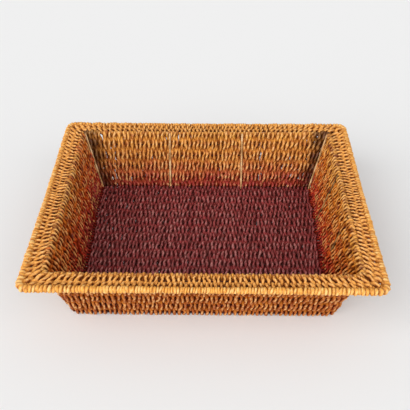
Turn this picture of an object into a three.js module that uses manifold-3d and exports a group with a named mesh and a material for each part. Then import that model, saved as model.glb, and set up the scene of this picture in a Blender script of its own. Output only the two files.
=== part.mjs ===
// Woven seagrass tray: a welded wire frame with a woven floor, four leaning woven walls and a broad
// flat woven rim, rolled at its outer edge.
// Millimetres. +X runs along the tray, +Y to the back, +Z up. The origin is the middle of the
// standing plane.

import * as THREE from 'three';
import { mergeVertices } from 'three/addons/utils/BufferGeometryUtils.js';
import Module from 'manifold-3d';

const wasm = await Module();
wasm.setup();

// Overall size, over the bindings
const TRAY_LENGTH = 450;
const TRAY_DEPTH = 386;
const TRAY_HEIGHT = 95;

// Frame: the distances are between the rings' centre lines, seen from above
const RIM_REACH = 24;
const WALL_RUN = 24;
const CORNER_RADIUS = 10;
const ROD_RADIUS = 1.5;
const WIRE_RADIUS = 0.8;
const CLEARANCE = 0.3;

// Where the posts stand and the cross wires lie
const LONG_WALL_POST_SHARE = 1 / 3;
const SHORT_WALL_POST_PITCH_SHARE = 2.5;
const WALL_WIRES = 4;
const FLOOR_WIRES = 14;
const RIM_WIRE_SHARES = [0.34, 0.7];

// Weave: a strand's thickness as it lies, and the depth to which the standing plane presses the base
const STRAND_THICKNESS = 2.6;
const VALLEY_SHARE = 0.65;
const BASE_FLAT = 0.5;

// How far the wraps over a ring reach past its middle before the wall's face leaves them
const WRAP_ANGLE = Math.PI / 5;

// A stitch's crown over a cross wire: share of the way to the next wire, and share of its full rise
const CROWN_SHARES = [[0.15, 1], [0.5, 0]];

// Facets
const ROD_SIDES = 6;
const WIRE_SIDES = 6;
const ROLL_SIDES = 12;
const HALF_CORNER_STEPS = 1;

// Finishes
const FRAME_FINISH = { color: 0x6f5f3d, roughness: 0.55, metalness: 0.6 };
const FLOOR_FINISH = { color: 0x5c2226, roughness: 0.85, metalness: 0 };
const WALL_FINISH = { color: 0xa4521f, roughness: 0.85, metalness: 0 };
const RIM_FINISH = { color: 0xc98a3a, roughness: 0.8, metalness: 0 };
const BINDING_FINISH = { color: 0xd79b42, roughness: 0.75, metalness: 0 };

// Sizes that follow
const ROLL_RADIUS = ROD_RADIUS + STRAND_THICKNESS;
const CROWN_HALF = WIRE_RADIUS + STRAND_THICKNESS;
const VALLEY_HALF = STRAND_THICKNESS * VALLEY_SHARE;
const BASE_Z = ROLL_RADIUS - BASE_FLAT;
const RIM_Z = TRAY_HEIGHT - ROLL_RADIUS;
const BASE_HALF_X = TRAY_LENGTH / 2 - ROLL_RADIUS - RIM_REACH - WALL_RUN;
const BASE_HALF_Y = TRAY_DEPTH / 2 - ROLL_RADIUS - RIM_REACH - WALL_RUN;
const WALL_SLANT = Math.hypot(WALL_RUN, RIM_Z - BASE_Z);
const WALL_LEAN = Math.atan2(WALL_RUN, RIM_Z - BASE_Z);

// A rod that laps a ring lies this far from the ring's centre, and its end passes it by a radius.
const LAP = ROD_RADIUS * 2 + CLEARANCE;
// The cross wires lie against the same rods, so the weave's middle is this far off the rings' line.
const WIRE_OFFSET = ROD_RADIUS - WIRE_RADIUS;

const FLOOR_PITCH = (BASE_HALF_Y * 2) / (FLOOR_WIRES + 1);
// A post of a short wall stands beside the end of a floor wire, between it and the next.
const SHORT_WALL_POST = SHORT_WALL_POST_PITCH_SHARE * FLOOR_PITCH + ROD_RADIUS + WIRE_RADIUS + CLEARANCE;

const tray = new THREE.Group();

// The four sides. Each is drawn with its outward direction along +Y, in a group that is turned into its
// place. `ends` names what lies at its low and high end, and `corner` the corner at its high end.
const SIDES = [
  { name: 'back', turn: 0, ends: ['left', 'right'], corner: 'back_right', isLong: true },
  { name: 'right', turn: -Math.PI / 2, ends: ['back', 'front'], corner: 'front_right', isLong: false },
  { name: 'front', turn: Math.PI, ends: ['right', 'left'], corner: 'front_left', isLong: true },
  { name: 'left', turn: Math.PI / 2, ends: ['front', 'back'], corner: 'back_left', isLong: false },
].map((side) => ({
  ...side,
  halfAlong: side.isLong ? BASE_HALF_X : BASE_HALF_Y,
  halfOut: side.isLong ? BASE_HALF_Y : BASE_HALF_X,
  post: side.isLong ? BASE_HALF_X * LONG_WALL_POST_SHARE : SHORT_WALL_POST,
  group: sideGroup(side),
}));

/** The group that turns one side into its place. */
function sideGroup(side) {
  const group = new THREE.Group();
  group.name = `side_${side.name}`;
  group.rotation.z = side.turn;
  tray.add(group);
  group.updateMatrixWorld();
  return group;
}

// Section planes. A point of a section has its offset outwards from the base ring, its height, and
// `line`, the offset of the ring line it belongs to, which moves the corner's centre with it.

/** Section plane of a panel that starts at a ring: `s` runs along the panel, `n` square to it. */
function panelPlane(startOut, startZ, lean) {
  return (n, s) => ({
    line: startOut + s * Math.sin(lean),
    out: startOut + s * Math.sin(lean) - n * Math.cos(lean),
    z: startZ + s * Math.cos(lean) + n * Math.sin(lean),
  });
}

const wallPlane = panelPlane(0, BASE_Z, WALL_LEAN);
const rimPlane = panelPlane(WALL_RUN, RIM_Z, Math.PI / 2);

/** A circle in a section plane, as a polygon. */
function circle(plane, n, s, radius, sides) {
  const centre = plane(n, s);
  return Array.from({ length: sides }, (_, i) => {
    const angle = (i * 2 * Math.PI) / sides;
    return {
      line: centre.line,
      out: centre.out + radius * Math.cos(angle),
      z: centre.z + radius * Math.sin(angle),
    };
  });
}

// Stations along a side, from a section point to a point in the side's group

/** A station on the side's straight run. */
function onRun(side, along) {
  return (p) => new THREE.Vector3(along, side.halfOut + p.out, p.z);
}

/** A station round one of the side's corners, held back from the mitre by `back`. */
function onCorner(side, end, angle, back = 0) {
  return (p) => {
    const centre = p.line - CORNER_RADIUS;
    const reach = CORNER_RADIUS + p.out - p.line;
    const x = side.halfAlong + centre + reach * Math.sin(angle) - back * Math.cos(angle);
    const y = side.halfOut + centre + reach * Math.cos(angle) + back * Math.sin(angle);
    return new THREE.Vector3(end * x, y, p.z);
  };
}

const CORNER_ANGLES = Array.from(
  { length: HALF_CORNER_STEPS + 1 },
  (_, i) => (i * Math.PI) / 4 / HALF_CORNER_STEPS,
);

/** The stations of one side's panel, from mitre to mitre, with half a clearance at each. */
function sideStations(side) {
  const station = (end, angle, i) => onCorner(side, end, angle, i === HALF_CORNER_STEPS ? CLEARANCE / 2 : 0);
  const low = CORNER_ANGLES.map((angle, i) => station(-1, angle, i)).reverse();
  const high = CORNER_ANGLES.map((angle, i) => station(1, angle, i));
  return [...low, ...high];
}

/** The stations of a closed ring, all round the tray and in its own frame. */
function ringStations() {
  return SIDES.flatMap((side) => {
    const low = CORNER_ANGLES.slice(0, -1).map((angle) => onCorner(side, -1, angle)).reverse();
    const high = CORNER_ANGLES.map((angle) => onCorner(side, 1, angle));
    return [...low, ...high].map((station) => (p) => side.group.localToWorld(station(p)));
  });
}

/** The triangles of a section's face, in a strip from its first point across to its far end. */
function capTriangles(count) {
  const triangles = [];
  let low = 0;
  let high = count - 1;
  while (high - low > 1) {
    triangles.push([low, low + 1, high]);
    low += 1;
    if (high - low > 1) {
      triangles.push([low, high - 1, high]);
      high -= 1;
    }
  }
  return triangles;
}

/**
 * Lofts a section through stations into one closed body, capped at its ends unless it is a ring. The
 * section's first point lies at one end of it.
 */
function loft(section, stations, isRing) {
  const outline = section.map((p) => new THREE.Vector2(p.out, p.z));
  const points = THREE.ShapeUtils.isClockWise(outline) ? [section[0], ...section.slice(1).reverse()] : section;
  const count = points.length;
  const positions = stations.flatMap((station) => points.flatMap((p) => station(p).toArray()));
  const indices = [];
  const spans = isRing ? stations.length : stations.length - 1;
  for (let i = 0; i < spans; i += 1) {
    const from = i * count;
    const to = ((i + 1) % stations.length) * count;
    for (let j = 0; j < count; j += 1) {
      const k = (j + 1) % count;
      indices.push(from + j, from + k, to + k, from + j, to + k, to + j);
    }
  }
  if (!isRing) {
    const last = (stations.length - 1) * count;
    for (const [a, b, c] of capTriangles(count)) {
      indices.push(c, b, a, last + a, last + b, last + c);
    }
  }
  const geometry = new THREE.BufferGeometry();
  geometry.setAttribute('position', new THREE.Float32BufferAttribute(positions, 3));
  geometry.setIndex(indices);
  return geometry;
}

// Frame members. Each is a placed piece and a function that draws its shape again, `grow` larger all
// over, for the channels of the weave.

/** Adds one named piece to a group, at the group's origin. */
function addPiece(group, name, geometry, finish) {
  geometry.computeVertexNormals();
  const mesh = new THREE.Mesh(geometry, new THREE.MeshStandardMaterial(finish));
  mesh.name = name;
  group.add(mesh);
  return mesh;
}

/** A closed ring round the tray at one place of a section plane, drawn flat and raised to its height. */
function ringMember(name, plane, n, s, radius, sides) {
  const { z: height } = plane(n, s);
  const flatPlane = (across, along) => ({ ...plane(across, along), z: plane(across, along).z - height });
  const draw = (grow) => loft(circle(flatPlane, n, s, radius + grow, sides), ringStations(), true);
  const piece = addPiece(tray, name, draw(0), FRAME_FINISH);
  piece.position.z = height;
  return { piece, draw };
}

/** A straight rod between two points of a group. */
function rodMember(group, name, from, to, radius, sides) {
  const axis = new THREE.Vector3().subVectors(to, from);
  const draw = (grow) => new THREE.CylinderGeometry(radius + grow, radius + grow, axis.length() + grow * 2, sides);
  const piece = addPiece(group, name, draw(0), FRAME_FINISH);
  piece.position.addVectors(from, to).multiplyScalar(0.5);
  piece.quaternion.setFromUnitVectors(new THREE.Vector3(0, 1, 0), axis.clone().normalize());
  return { piece, draw };
}

/** A post inside the wall, lapped on the base ring and the inner rim ring. */
function postMember(group, name, station) {
  const foot = station(wallPlane(LAP, -ROD_RADIUS));
  const head = station(wallPlane(LAP, WALL_SLANT + ROD_RADIUS));
  return rodMember(group, name, foot, head, ROD_RADIUS, ROD_SIDES);
}

/** A spoke under the rim, lapped on the inner and the outer rim ring. */
function spokeMember(group, name, station) {
  const inner = station(rimPlane(-LAP, -ROD_RADIUS));
  const outer = station(rimPlane(-LAP, RIM_REACH + ROD_RADIUS));
  return rodMember(group, name, inner, outer, ROD_RADIUS, ROD_SIDES);
}

/** The posts and spokes of one side: two on its run and one at its corner. */
function sideMembers(side) {
  const places = [
    [`${side.name}_${side.ends[0]}`, onRun(side, -side.post)],
    [`${side.name}_${side.ends[1]}`, onRun(side, side.post)],
    [`corner_${side.corner}`, onCorner(side, 1, Math.PI / 4)],
  ];
  return places.flatMap(([place, station]) => [
    postMember(side.group, `post_${place}`, station),
    spokeMember(side.group, `spoke_${place}`, station),
  ]);
}

/** A cross wire of the floor, from one end of the base ring to the other. */
function floorWire(index) {
  const y = (index + 1) * FLOOR_PITCH - BASE_HALF_Y;
  const end = BASE_HALF_X - ROD_RADIUS - CLEARANCE;
  const from = new THREE.Vector3(-end, y, BASE_Z);
  const to = new THREE.Vector3(end, y, BASE_Z);
  const name = `floor_wire_${String(index + 1).padStart(2, '0')}`;
  return rodMember(tray, name, from, to, WIRE_RADIUS, WIRE_SIDES);
}

const wallWirePlaces = Array.from({ length: WALL_WIRES }, (_, i) => ((i + 1) * WALL_SLANT) / (WALL_WIRES + 1));
const rimWirePlaces = RIM_WIRE_SHARES.map((share) => share * RIM_REACH);
const floorWirePlaces = Array.from({ length: FLOOR_WIRES }, (_, i) => (i + 1) * FLOOR_PITCH);

const frameMembers = [
  ringMember('base_ring', wallPlane, 0, 0, ROD_RADIUS, ROD_SIDES),
  ringMember('rim_inner_ring', rimPlane, 0, 0, ROD_RADIUS, ROD_SIDES),
  ringMember('rim_outer_ring', rimPlane, 0, RIM_REACH, ROD_RADIUS, ROD_SIDES),
  ...SIDES.flatMap(sideMembers),
  ...wallWirePlaces.map((s, i) => (
    ringMember(`wall_wire_${i + 1}`, wallPlane, WIRE_OFFSET, s, WIRE_RADIUS, WIRE_SIDES))),
  ...rimWirePlaces.map((s, i) => (
    ringMember(`rim_wire_${i + 1}`, rimPlane, -WIRE_OFFSET, s, WIRE_RADIUS, WIRE_SIDES))),
  ...floorWirePlaces.map((_, i) => floorWire(i)),
];

// Woven panels

/** One face of a weave from `start` to `end`: its places and rises, thick over each wire. */
function crowns(wires, firstRing, lastRing, start, end) {
  const stops = [firstRing, ...wires, lastRing];
  const face = [];
  wires.forEach((wire, i) => {
    const before = wire - stops[i];
    const after = stops[i + 2] - wire;
    const rising = CROWN_SHARES.map(([share, rise]) => [wire - share * before, rise]).reverse();
    const falling = CROWN_SHARES.map(([share, rise]) => [wire + share * after, rise]);
    face.push(...(i === 0 ? rising : rising.slice(1)), ...falling);
  });
  return face.filter(([s]) => s > start && s < end);
}

/** Half the weave's thickness at a rise. */
function halfThickness(rise, crownHalf = CROWN_HALF) {
  return VALLEY_HALF + (crownHalf - VALLEY_HALF) * rise;
}

/** The wraps over a ring: an arc of the roll's section, between two angles. */
function rollArc(s, from, to) {
  const steps = Math.round(((to - from) * ROLL_SIDES) / (2 * Math.PI));
  return Array.from({ length: steps + 1 }, (_, i) => {
    const angle = from + ((to - from) * i) / steps;
    return [ROLL_RADIUS * Math.cos(angle), s + ROLL_RADIUS * Math.sin(angle)];
  });
}

/** A section cut flat at the standing plane. */
function flattened(points) {
  const cut = points.map((p) => ({ ...p, z: Math.max(p.z, 0) }));
  const isLow = (i) => cut.at(i % cut.length).z === 0;
  return cut.filter((_, i) => !(isLow(i - 1) && isLow(i) && isLow(i + 1)));
}

/** Section of a wall: both faces and the wraps over its two rings, flat where it stands. */
function wallSection() {
  const face = crowns(wallWirePlaces, 0, WALL_SLANT, 0, WALL_SLANT);
  const inside = face.map(([s, rise]) => [WIRE_OFFSET + halfThickness(rise), s]);
  const outside = face.map(([s, rise]) => [WIRE_OFFSET - halfThickness(rise), s]).reverse();
  const head = rollArc(WALL_SLANT, -WRAP_ANGLE, Math.PI + WRAP_ANGLE);
  const footInside = rollArc(0, -Math.PI / 2, WRAP_ANGLE);
  const footOutside = rollArc(0, Math.PI - WRAP_ANGLE, Math.PI * 1.5).slice(0, -1);
  return flattened([...footInside, ...inside, ...head, ...outside, ...footOutside]
    .map(([n, s]) => wallPlane(n, s)));
}

/** Section of the rim between the wraps of the inner ring and the rolled binding. */
function rimSection() {
  const start = ROLL_RADIUS + CLEARANCE;
  const end = RIM_REACH - ROLL_RADIUS - CLEARANCE;
  const face = [[start, 0], ...crowns(rimWirePlaces, 0, RIM_REACH, start, end), [end, 0]];
  const top = face.map(([s, rise]) => rimPlane(halfThickness(rise) - WIRE_OFFSET, s));
  const bottom = face.map(([s, rise]) => rimPlane(-halfThickness(rise) - WIRE_OFFSET, s));
  return [...top, ...bottom.reverse()];
}

/** Section of the rolled binding over the outer ring. */
function bindingSection() {
  return circle(rimPlane, 0, RIM_REACH, ROLL_RADIUS, ROLL_SIDES);
}

/** The floor's weave: its section drawn from front to back, pulled along the tray, round-cornered. */
function floorGeometry() {
  const edge = ROLL_RADIUS + CLEARANCE;
  const end = BASE_HALF_Y * 2 - edge;
  const face = [[edge, 0], ...crowns(floorWirePlaces, 0, BASE_HALF_Y * 2, edge, end), [end, 0]];
  const top = face.map(([s, rise]) => new THREE.Vector2(s - BASE_HALF_Y, BASE_Z + halfThickness(rise)));
  const bottom = face.map(([s, rise]) => (
    new THREE.Vector2(s - BASE_HALF_Y, BASE_Z - halfThickness(rise, BASE_Z))));
  const length = (BASE_HALF_X - edge) * 2;
  const cloth = new THREE.ExtrudeGeometry(
    new THREE.Shape([...top, ...bottom.reverse()]),
    { depth: length, bevelEnabled: false },
  );
  cloth.translate(0, 0, -length / 2);
  cloth.applyMatrix4(new THREE.Matrix4().makeBasis(
    new THREE.Vector3(0, 1, 0),
    new THREE.Vector3(0, 0, 1),
    new THREE.Vector3(1, 0, 0),
  ));
  const outline = new THREE.Shape(ringStations().map((station) => {
    const p = station({ line: 0, out: -edge, z: 0 });
    return new THREE.Vector2(p.x, p.y);
  }).reverse());
  const blank = new THREE.ExtrudeGeometry(outline, { depth: TRAY_HEIGHT, bevelEnabled: false });
  blank.translate(0, 0, -TRAY_HEIGHT / 2);
  return toGeometry(toSolid(cloth).intersect(toSolid(blank)));
}

// Cutting

/** A geometry as a solid that can be cut, with its shared vertices merged. */
function toSolid(geometry) {
  const bare = geometry.clone();
  bare.deleteAttribute('normal');
  bare.deleteAttribute('uv');
  const merged = mergeVertices(bare);
  return new wasm.Manifold(new wasm.Mesh({
    numProp: 3,
    vertProperties: Float32Array.from(merged.attributes.position.array),
    triVerts: Uint32Array.from(merged.index.array),
  }));
}

/** A solid as a geometry. */
function toGeometry(solid) {
  const mesh = solid.getMesh();
  const geometry = new THREE.BufferGeometry();
  geometry.setAttribute('position', new THREE.BufferAttribute(mesh.vertProperties, 3));
  geometry.setIndex(new THREE.BufferAttribute(mesh.triVerts, 1));
  return geometry;
}

tray.updateMatrixWorld();
const frameWithClearance = wasm.Manifold.union(
  frameMembers.map(({ piece, draw }) => toSolid(draw(CLEARANCE).applyMatrix4(piece.matrixWorld))),
);

/** Adds a woven piece to a group, with channels and grooves for every frame member that runs through it. */
function addWeave(group, name, geometry, finish) {
  const cut = toSolid(geometry.applyMatrix4(group.matrixWorld)).subtract(frameWithClearance);
  addPiece(group, name, toGeometry(cut).applyMatrix4(group.matrixWorld.clone().invert()), finish);
}

// Woven pieces

addWeave(tray, 'floor_weave', floorGeometry(), FLOOR_FINISH);
for (const side of SIDES) {
  const stations = sideStations(side);
  addWeave(side.group, `wall_weave_${side.name}`, loft(wallSection(), stations, false), WALL_FINISH);
  addWeave(side.group, `rim_weave_${side.name}`, loft(rimSection(), stations, false), RIM_FINISH);
  addWeave(side.group, `rim_binding_${side.name}`, loft(bindingSection(), stations, false), BINDING_FINISH);
}

export default tray;
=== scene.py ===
import logging
import math
from dataclasses import dataclass, field
from enum import Enum
from typing import Iterator

import bpy
import numpy as np
from mathutils import Matrix, Vector


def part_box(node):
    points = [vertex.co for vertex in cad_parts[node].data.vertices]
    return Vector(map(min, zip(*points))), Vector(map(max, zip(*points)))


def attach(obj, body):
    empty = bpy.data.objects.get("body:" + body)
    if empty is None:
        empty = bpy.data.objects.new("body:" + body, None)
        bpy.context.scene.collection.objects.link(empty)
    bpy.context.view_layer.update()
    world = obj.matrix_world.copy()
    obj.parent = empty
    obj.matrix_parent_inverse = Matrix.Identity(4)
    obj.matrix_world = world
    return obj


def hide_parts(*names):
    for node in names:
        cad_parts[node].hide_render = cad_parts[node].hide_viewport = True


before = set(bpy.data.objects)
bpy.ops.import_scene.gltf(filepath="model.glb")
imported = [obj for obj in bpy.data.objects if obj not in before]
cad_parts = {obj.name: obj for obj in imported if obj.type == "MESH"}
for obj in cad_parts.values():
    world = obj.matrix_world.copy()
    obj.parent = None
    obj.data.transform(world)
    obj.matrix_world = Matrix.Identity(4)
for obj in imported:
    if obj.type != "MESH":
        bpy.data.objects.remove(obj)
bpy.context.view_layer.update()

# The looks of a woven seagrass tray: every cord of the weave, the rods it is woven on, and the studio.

LOG = logging.getLogger("seagrass_tray")

Array = np.ndarray
Socket = bpy.types.NodeSocket
Pair = tuple[float, float]
Rgba = tuple[float, float, float, float]

MM = 0.001
TURN = 2 * math.pi
UP = math.pi / 2

# The wire frame: rows count the steps from ring to ring over the cross wires
ROD_RADIUS = 1.5 * MM
WIRE_RADIUS = 0.8 * MM
WIRE_DEPTH = ROD_RADIUS - WIRE_RADIUS
CORNER_RADIUS = 10.0 * MM
WALL_ROWS = 5
FLOOR_ROWS = 15
RIM_WIRES = 2

# Attributes that the cords carry from their guide lines to their finish
SIZE_ATTRIBUTE = "cord_size"
CROWN_ATTRIBUTE = "cord_crown"
INNER_ATTRIBUTE = "cord_inner"
EXPOSED_ATTRIBUTE = "cord_exposed"
FACING_ATTRIBUTE = "cord_facing"
RUN_ATTRIBUTE = "cord_run"
STRAND_ATTRIBUTE = "strand_id"
ROUND_ATTRIBUTE = "cord_round"
TINT_ATTRIBUTE = "cord_tint"
TONE_ATTRIBUTE = "cord_tone"

# What the columns of a cord's track hold
POINT = slice(0, 3)
SIZE = 3
CROWN = slice(4, 7)
INNER = slice(7, 10)
CARRIED = slice(3, 10)


def paint(code: str) -> Rgba:
    """Turns a colour written as six hexadecimal digits into scene-linear values.

    Args:
        code: The colour, such as "c98a3a".

    Returns:
        Its red, green, blue and cover, from 0 to 1.
    """
    channels = (int(code[i:i + 2], 16) / 255 for i in (0, 2, 4))
    return (*(c / 12.92 if c <= 0.04045 else ((c + 0.055) / 1.055) ** 2.4 for c in channels), 1.0)


def ray(angle: float) -> Array:
    """The direction at an angle in a side's section, outwards and upwards."""
    return np.array([math.cos(angle), math.sin(angle)])


class Side(Enum):
    """The four sides of the tray, in quarter turns from the back."""

    BACK = 0
    RIGHT = 1
    FRONT = 2
    LEFT = 3

    @property
    def label(self) -> str:
        """The side's name in the names of nodes and pieces."""
        return self.name.lower()

    @property
    def is_long(self) -> bool:
        """Whether the side runs along the tray."""
        return self.value % 2 == 0

    @property
    def shown_face(self) -> float:
        """1 where the photograph shows the side's inner face, -1 where it shows the outer one."""
        return -1.0 if self is Side.FRONT else 1.0

    @property
    def turn(self) -> Array:
        """The turn from the back side to this side."""
        return np.array(Matrix.Rotation(-self.value * math.pi / 2, 3, "Z"))

    def turned(self, points: Array) -> Array:
        """Turns points drawn on the back side to this side."""
        return points @ self.turn.T

    def turned_back(self, points: Array) -> Array:
        """Turns points of this side to where the back side is drawn."""
        return points @ self.turn


class Part(Enum):
    """The parts of the weave, each a piece of its own on a side."""

    FLOOR = "floor"
    WALL = "wall"
    RIM = "rim"
    EDGE = "edge"


class PostCover(Enum):
    """How much of a post stands bare of the weave, as the rows between which it does."""

    BARE = (0.0, 9.0)
    HALF_COVERED = (1.7, 3.7)
    WOVEN_OVER = (9.0, 9.0)

    def is_bare(self, row: float) -> bool:
        """Whether the post stands bare at a row."""
        return self.value[0] <= row <= self.value[1]


POST_COVERS = {
    "post_left_back": PostCover.WOVEN_OVER,
    "post_left_front": PostCover.WOVEN_OVER,
    "post_right_front": PostCover.HALF_COVERED,
}


@dataclass(frozen=True)
class Post:
    """A wall's post.

    Attributes:
        along: Its distance from the side's middle.
        cover: How far the weave covers it.
    """

    along: float
    cover: PostCover = PostCover.BARE

    @classmethod
    def row(cls, side: Side) -> "tuple[Post, ...]":
        """The posts along a side, measured on their nodes.

        Args:
            side: The side.

        Returns:
            Its posts without those at the corners.
        """
        names = [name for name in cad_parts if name.startswith(f"post_{side.label}_")]
        places = [float(side.turned_back(np.mean(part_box(name), axis=0))[0]) for name in names]
        return tuple(cls(place, POST_COVERS.get(name, PostCover.BARE)) for name, place in zip(names, places))


@dataclass(frozen=True)
class PostWay:
    """How the cords of a wall pass its posts.

    Attributes:
        rows: The rows between which they do.
        over_reach: How near to a covered post they pass over it.
        over_lift: How far out they pass it there.
        behind_reach: How near to a bare post they pass behind it.
        behind_lift: How far back they pass it there.
        aside: How far it pushes them aside.
        aside_reach: How near to it they are pushed.
    """

    rows: Pair = (0.3, 4.8)
    over_reach: float = 3.0 * MM
    over_lift: float = 3.7 * MM
    behind_reach: float = 3.5 * MM
    behind_lift: float = 1.2 * MM
    aside: float = 0.5 * MM
    aside_reach: float = 4.0 * MM

    def lift(self, gap: float, lift: float, is_bare: bool) -> float:
        """A cord's lift at a gap from a post.

        Args:
            gap: The gap along the side.
            lift: The lift without the post.
            is_bare: Whether the post stands bare here.

        Returns:
            The lift with it.
        """
        if is_bare:
            return lift - math.exp(-((gap / self.behind_reach) ** 4)) * max(lift + self.behind_lift, 0.0)
        return lift + math.exp(-((gap / self.over_reach) ** 4)) * (self.over_lift - lift)

    def push(self, gap: float) -> float:
        """How far a bare post pushes a cord aside."""
        return math.copysign(self.aside, gap) * math.exp(-((gap / self.aside_reach) ** 2))


@dataclass(frozen=True)
class Skeleton:
    """The lines of the wire frame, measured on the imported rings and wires.

    Attributes:
        half_x: Half the base ring's length.
        half_y: Half its depth.
        base_z: Its height.
        rim_z: The height of the rim's two rings.
        wall_run: How far the inner ring lies outside the base ring.
        rim_reach: How far the outer ring lies outside the inner ring.
        rim_wires: How far the rim's cross wires do.
    """

    half_x: float
    half_y: float
    base_z: float
    rim_z: float
    wall_run: float
    rim_reach: float
    rim_wires: tuple[float, ...]

    @classmethod
    def measured(cls) -> "Skeleton":
        """Reads the skeleton from the frame's nodes.

        Returns:
            The skeleton.
        """
        base_low, base_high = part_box("base_ring")
        inner_low, inner_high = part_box("rim_inner_ring")
        outer_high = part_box("rim_outer_ring")[1]
        wires = (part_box(f"rim_wire_{i + 1}")[1].x - WIRE_RADIUS for i in range(RIM_WIRES))
        inner_x = inner_high.x - ROD_RADIUS
        return cls(
            half_x=base_high.x - ROD_RADIUS,
            half_y=base_high.y - ROD_RADIUS,
            base_z=(base_low.z + base_high.z) / 2,
            rim_z=(inner_low.z + inner_high.z) / 2,
            wall_run=inner_high.x - base_high.x,
            rim_reach=outer_high.x - inner_high.x,
            rim_wires=tuple(x - inner_x for x in wires),
        )

    @property
    def lean(self) -> float:
        """The angle by which the walls lean outwards."""
        return math.atan2(self.wall_run, self.rim_z - self.base_z)

    @property
    def wall_pitch(self) -> float:
        """The distance between the wall's cross wires."""
        return math.hypot(self.wall_run, self.rim_z - self.base_z) / WALL_ROWS

    @property
    def floor_pitch(self) -> float:
        """The distance between the floor's cross wires."""
        return 2 * self.half_y / FLOOR_ROWS

    def half_along(self, side: Side) -> float:
        """Half the base ring's length on a side."""
        return self.half_x if side.is_long else self.half_y

    def half_out(self, side: Side) -> float:
        """The base ring's distance from the middle on a side."""
        return self.half_y if side.is_long else self.half_x

    def reach(self, side: Side, line: float) -> float:
        """Half a side's length from mitre to mitre, at one offset of the ring line."""
        return self.half_along(side) + line - CORNER_RADIUS + CORNER_RADIUS * math.pi / 4

    def placed(self, side: Side, along: float, line: float, point: Array,
               heading: Array) -> tuple[Array, Array]:
        """Places a point of a side's section, and a direction in it, in the tray's frame.

        Args:
            side: The side.
            along: The distance from the side's middle along its line, round the corner too.
            line: The offset of the ring line that the point belongs to.
            point: The point's own offset from the base ring, and its height.
            heading: The direction, outwards and upwards.

        Returns:
            The point and the direction in the tray's frame.
        """
        run = self.half_along(side) + line - CORNER_RADIUS
        angle = math.copysign(max(abs(along) - run, 0.0) / CORNER_RADIUS, along)
        outwards = np.array([math.sin(angle), math.cos(angle), 0.0])
        pivot = np.array([math.copysign(min(abs(along), run), along),
                          self.half_out(side) + line - CORNER_RADIUS, point[1]])
        position = pivot + outwards * (CORNER_RADIUS + point[0] - line)
        direction = outwards * heading[0] + np.array([0.0, 0.0, heading[1]])
        return side.turned(position), side.turned(direction)


@dataclass(frozen=True)
class Knot:
    """A place that a cord passes in a side's section.

    Attributes:
        row: The row of the weave, from 0 at the base ring to 8 at the outer ring.
        part: The part of the weave that the cord enters here.
        line: The offset of the ring line.
        centre: The offset and height of what the cord passes.
        heading: The angle in the section at which the cord passes it.
        lift: The cord's distance from the centre.
        size: The cord's thickness here, as a share of its own.
        crown: How far the cord stands out of the weave along the heading, from -1 to 1.
        inner: 1 where the heading points out of the tray's inner face, -1 out of its outer face.
        sway: The share of the lean by which the cord moves along the side.
        way: The angle in the section along which the stitch may slide, if it may.
    """

    row: float
    part: Part
    line: float
    centre: Pair
    heading: float
    lift: float
    size: float = 1.0
    crown: float = 1.0
    inner: float = 1.0
    sway: float = 0.0
    way: float | None = None

    @property
    def is_crossing(self) -> bool:
        """Whether the cord passes a cross wire here."""
        return self.part is not Part.EDGE and self.row.is_integer() and self.row not in (0.0, WALL_ROWS)

    def slid(self, slide: float) -> Array:
        """The centre, moved where the stitch may slide."""
        return np.array(self.centre) if self.way is None else np.array(self.centre) + slide * ray(self.way)


# How far a cord stands over (1) or under (-1) at each quarter of a row, if it is over where the row begins
QUARTER_RISES = (1.0, 0.93, 0.0, -0.93)

# The same at the steps of the rim, in rows from the inner ring: True for a cord over the rim's first wire
RIM_STEPS = (0.34, 0.65, 1.0, 1.25, 1.5, 1.75, 2.0)
RIM_RISES = {
    True: (0.9, 1.0, 1.0, 0.8, 0.0, -0.85, -1.0),
    False: (-0.45, -0.95, -1.0, -0.8, 0.0, 0.85, 1.0),
}

# And at the steps round the inner ring, which every cord ends up over: True for one that passes before it
BEND_RISES = {True: (1.0, 1.0, 0.6), False: (-0.35, 0.35, 1.0)}


def weave_rows(count: int) -> Iterator[Pair]:
    """The quarter rows of a plain weave between two rings.

    Args:
        count: The rows between the rings.

    Yields:
        The row, and how far the cord is over (1) or under (-1), for one that is over at row 0.
    """
    for step in range(1, 4 * count):
        yield step / 4, QUARTER_RISES[step % 4] * (-1.0) ** (step // 4)


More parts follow.
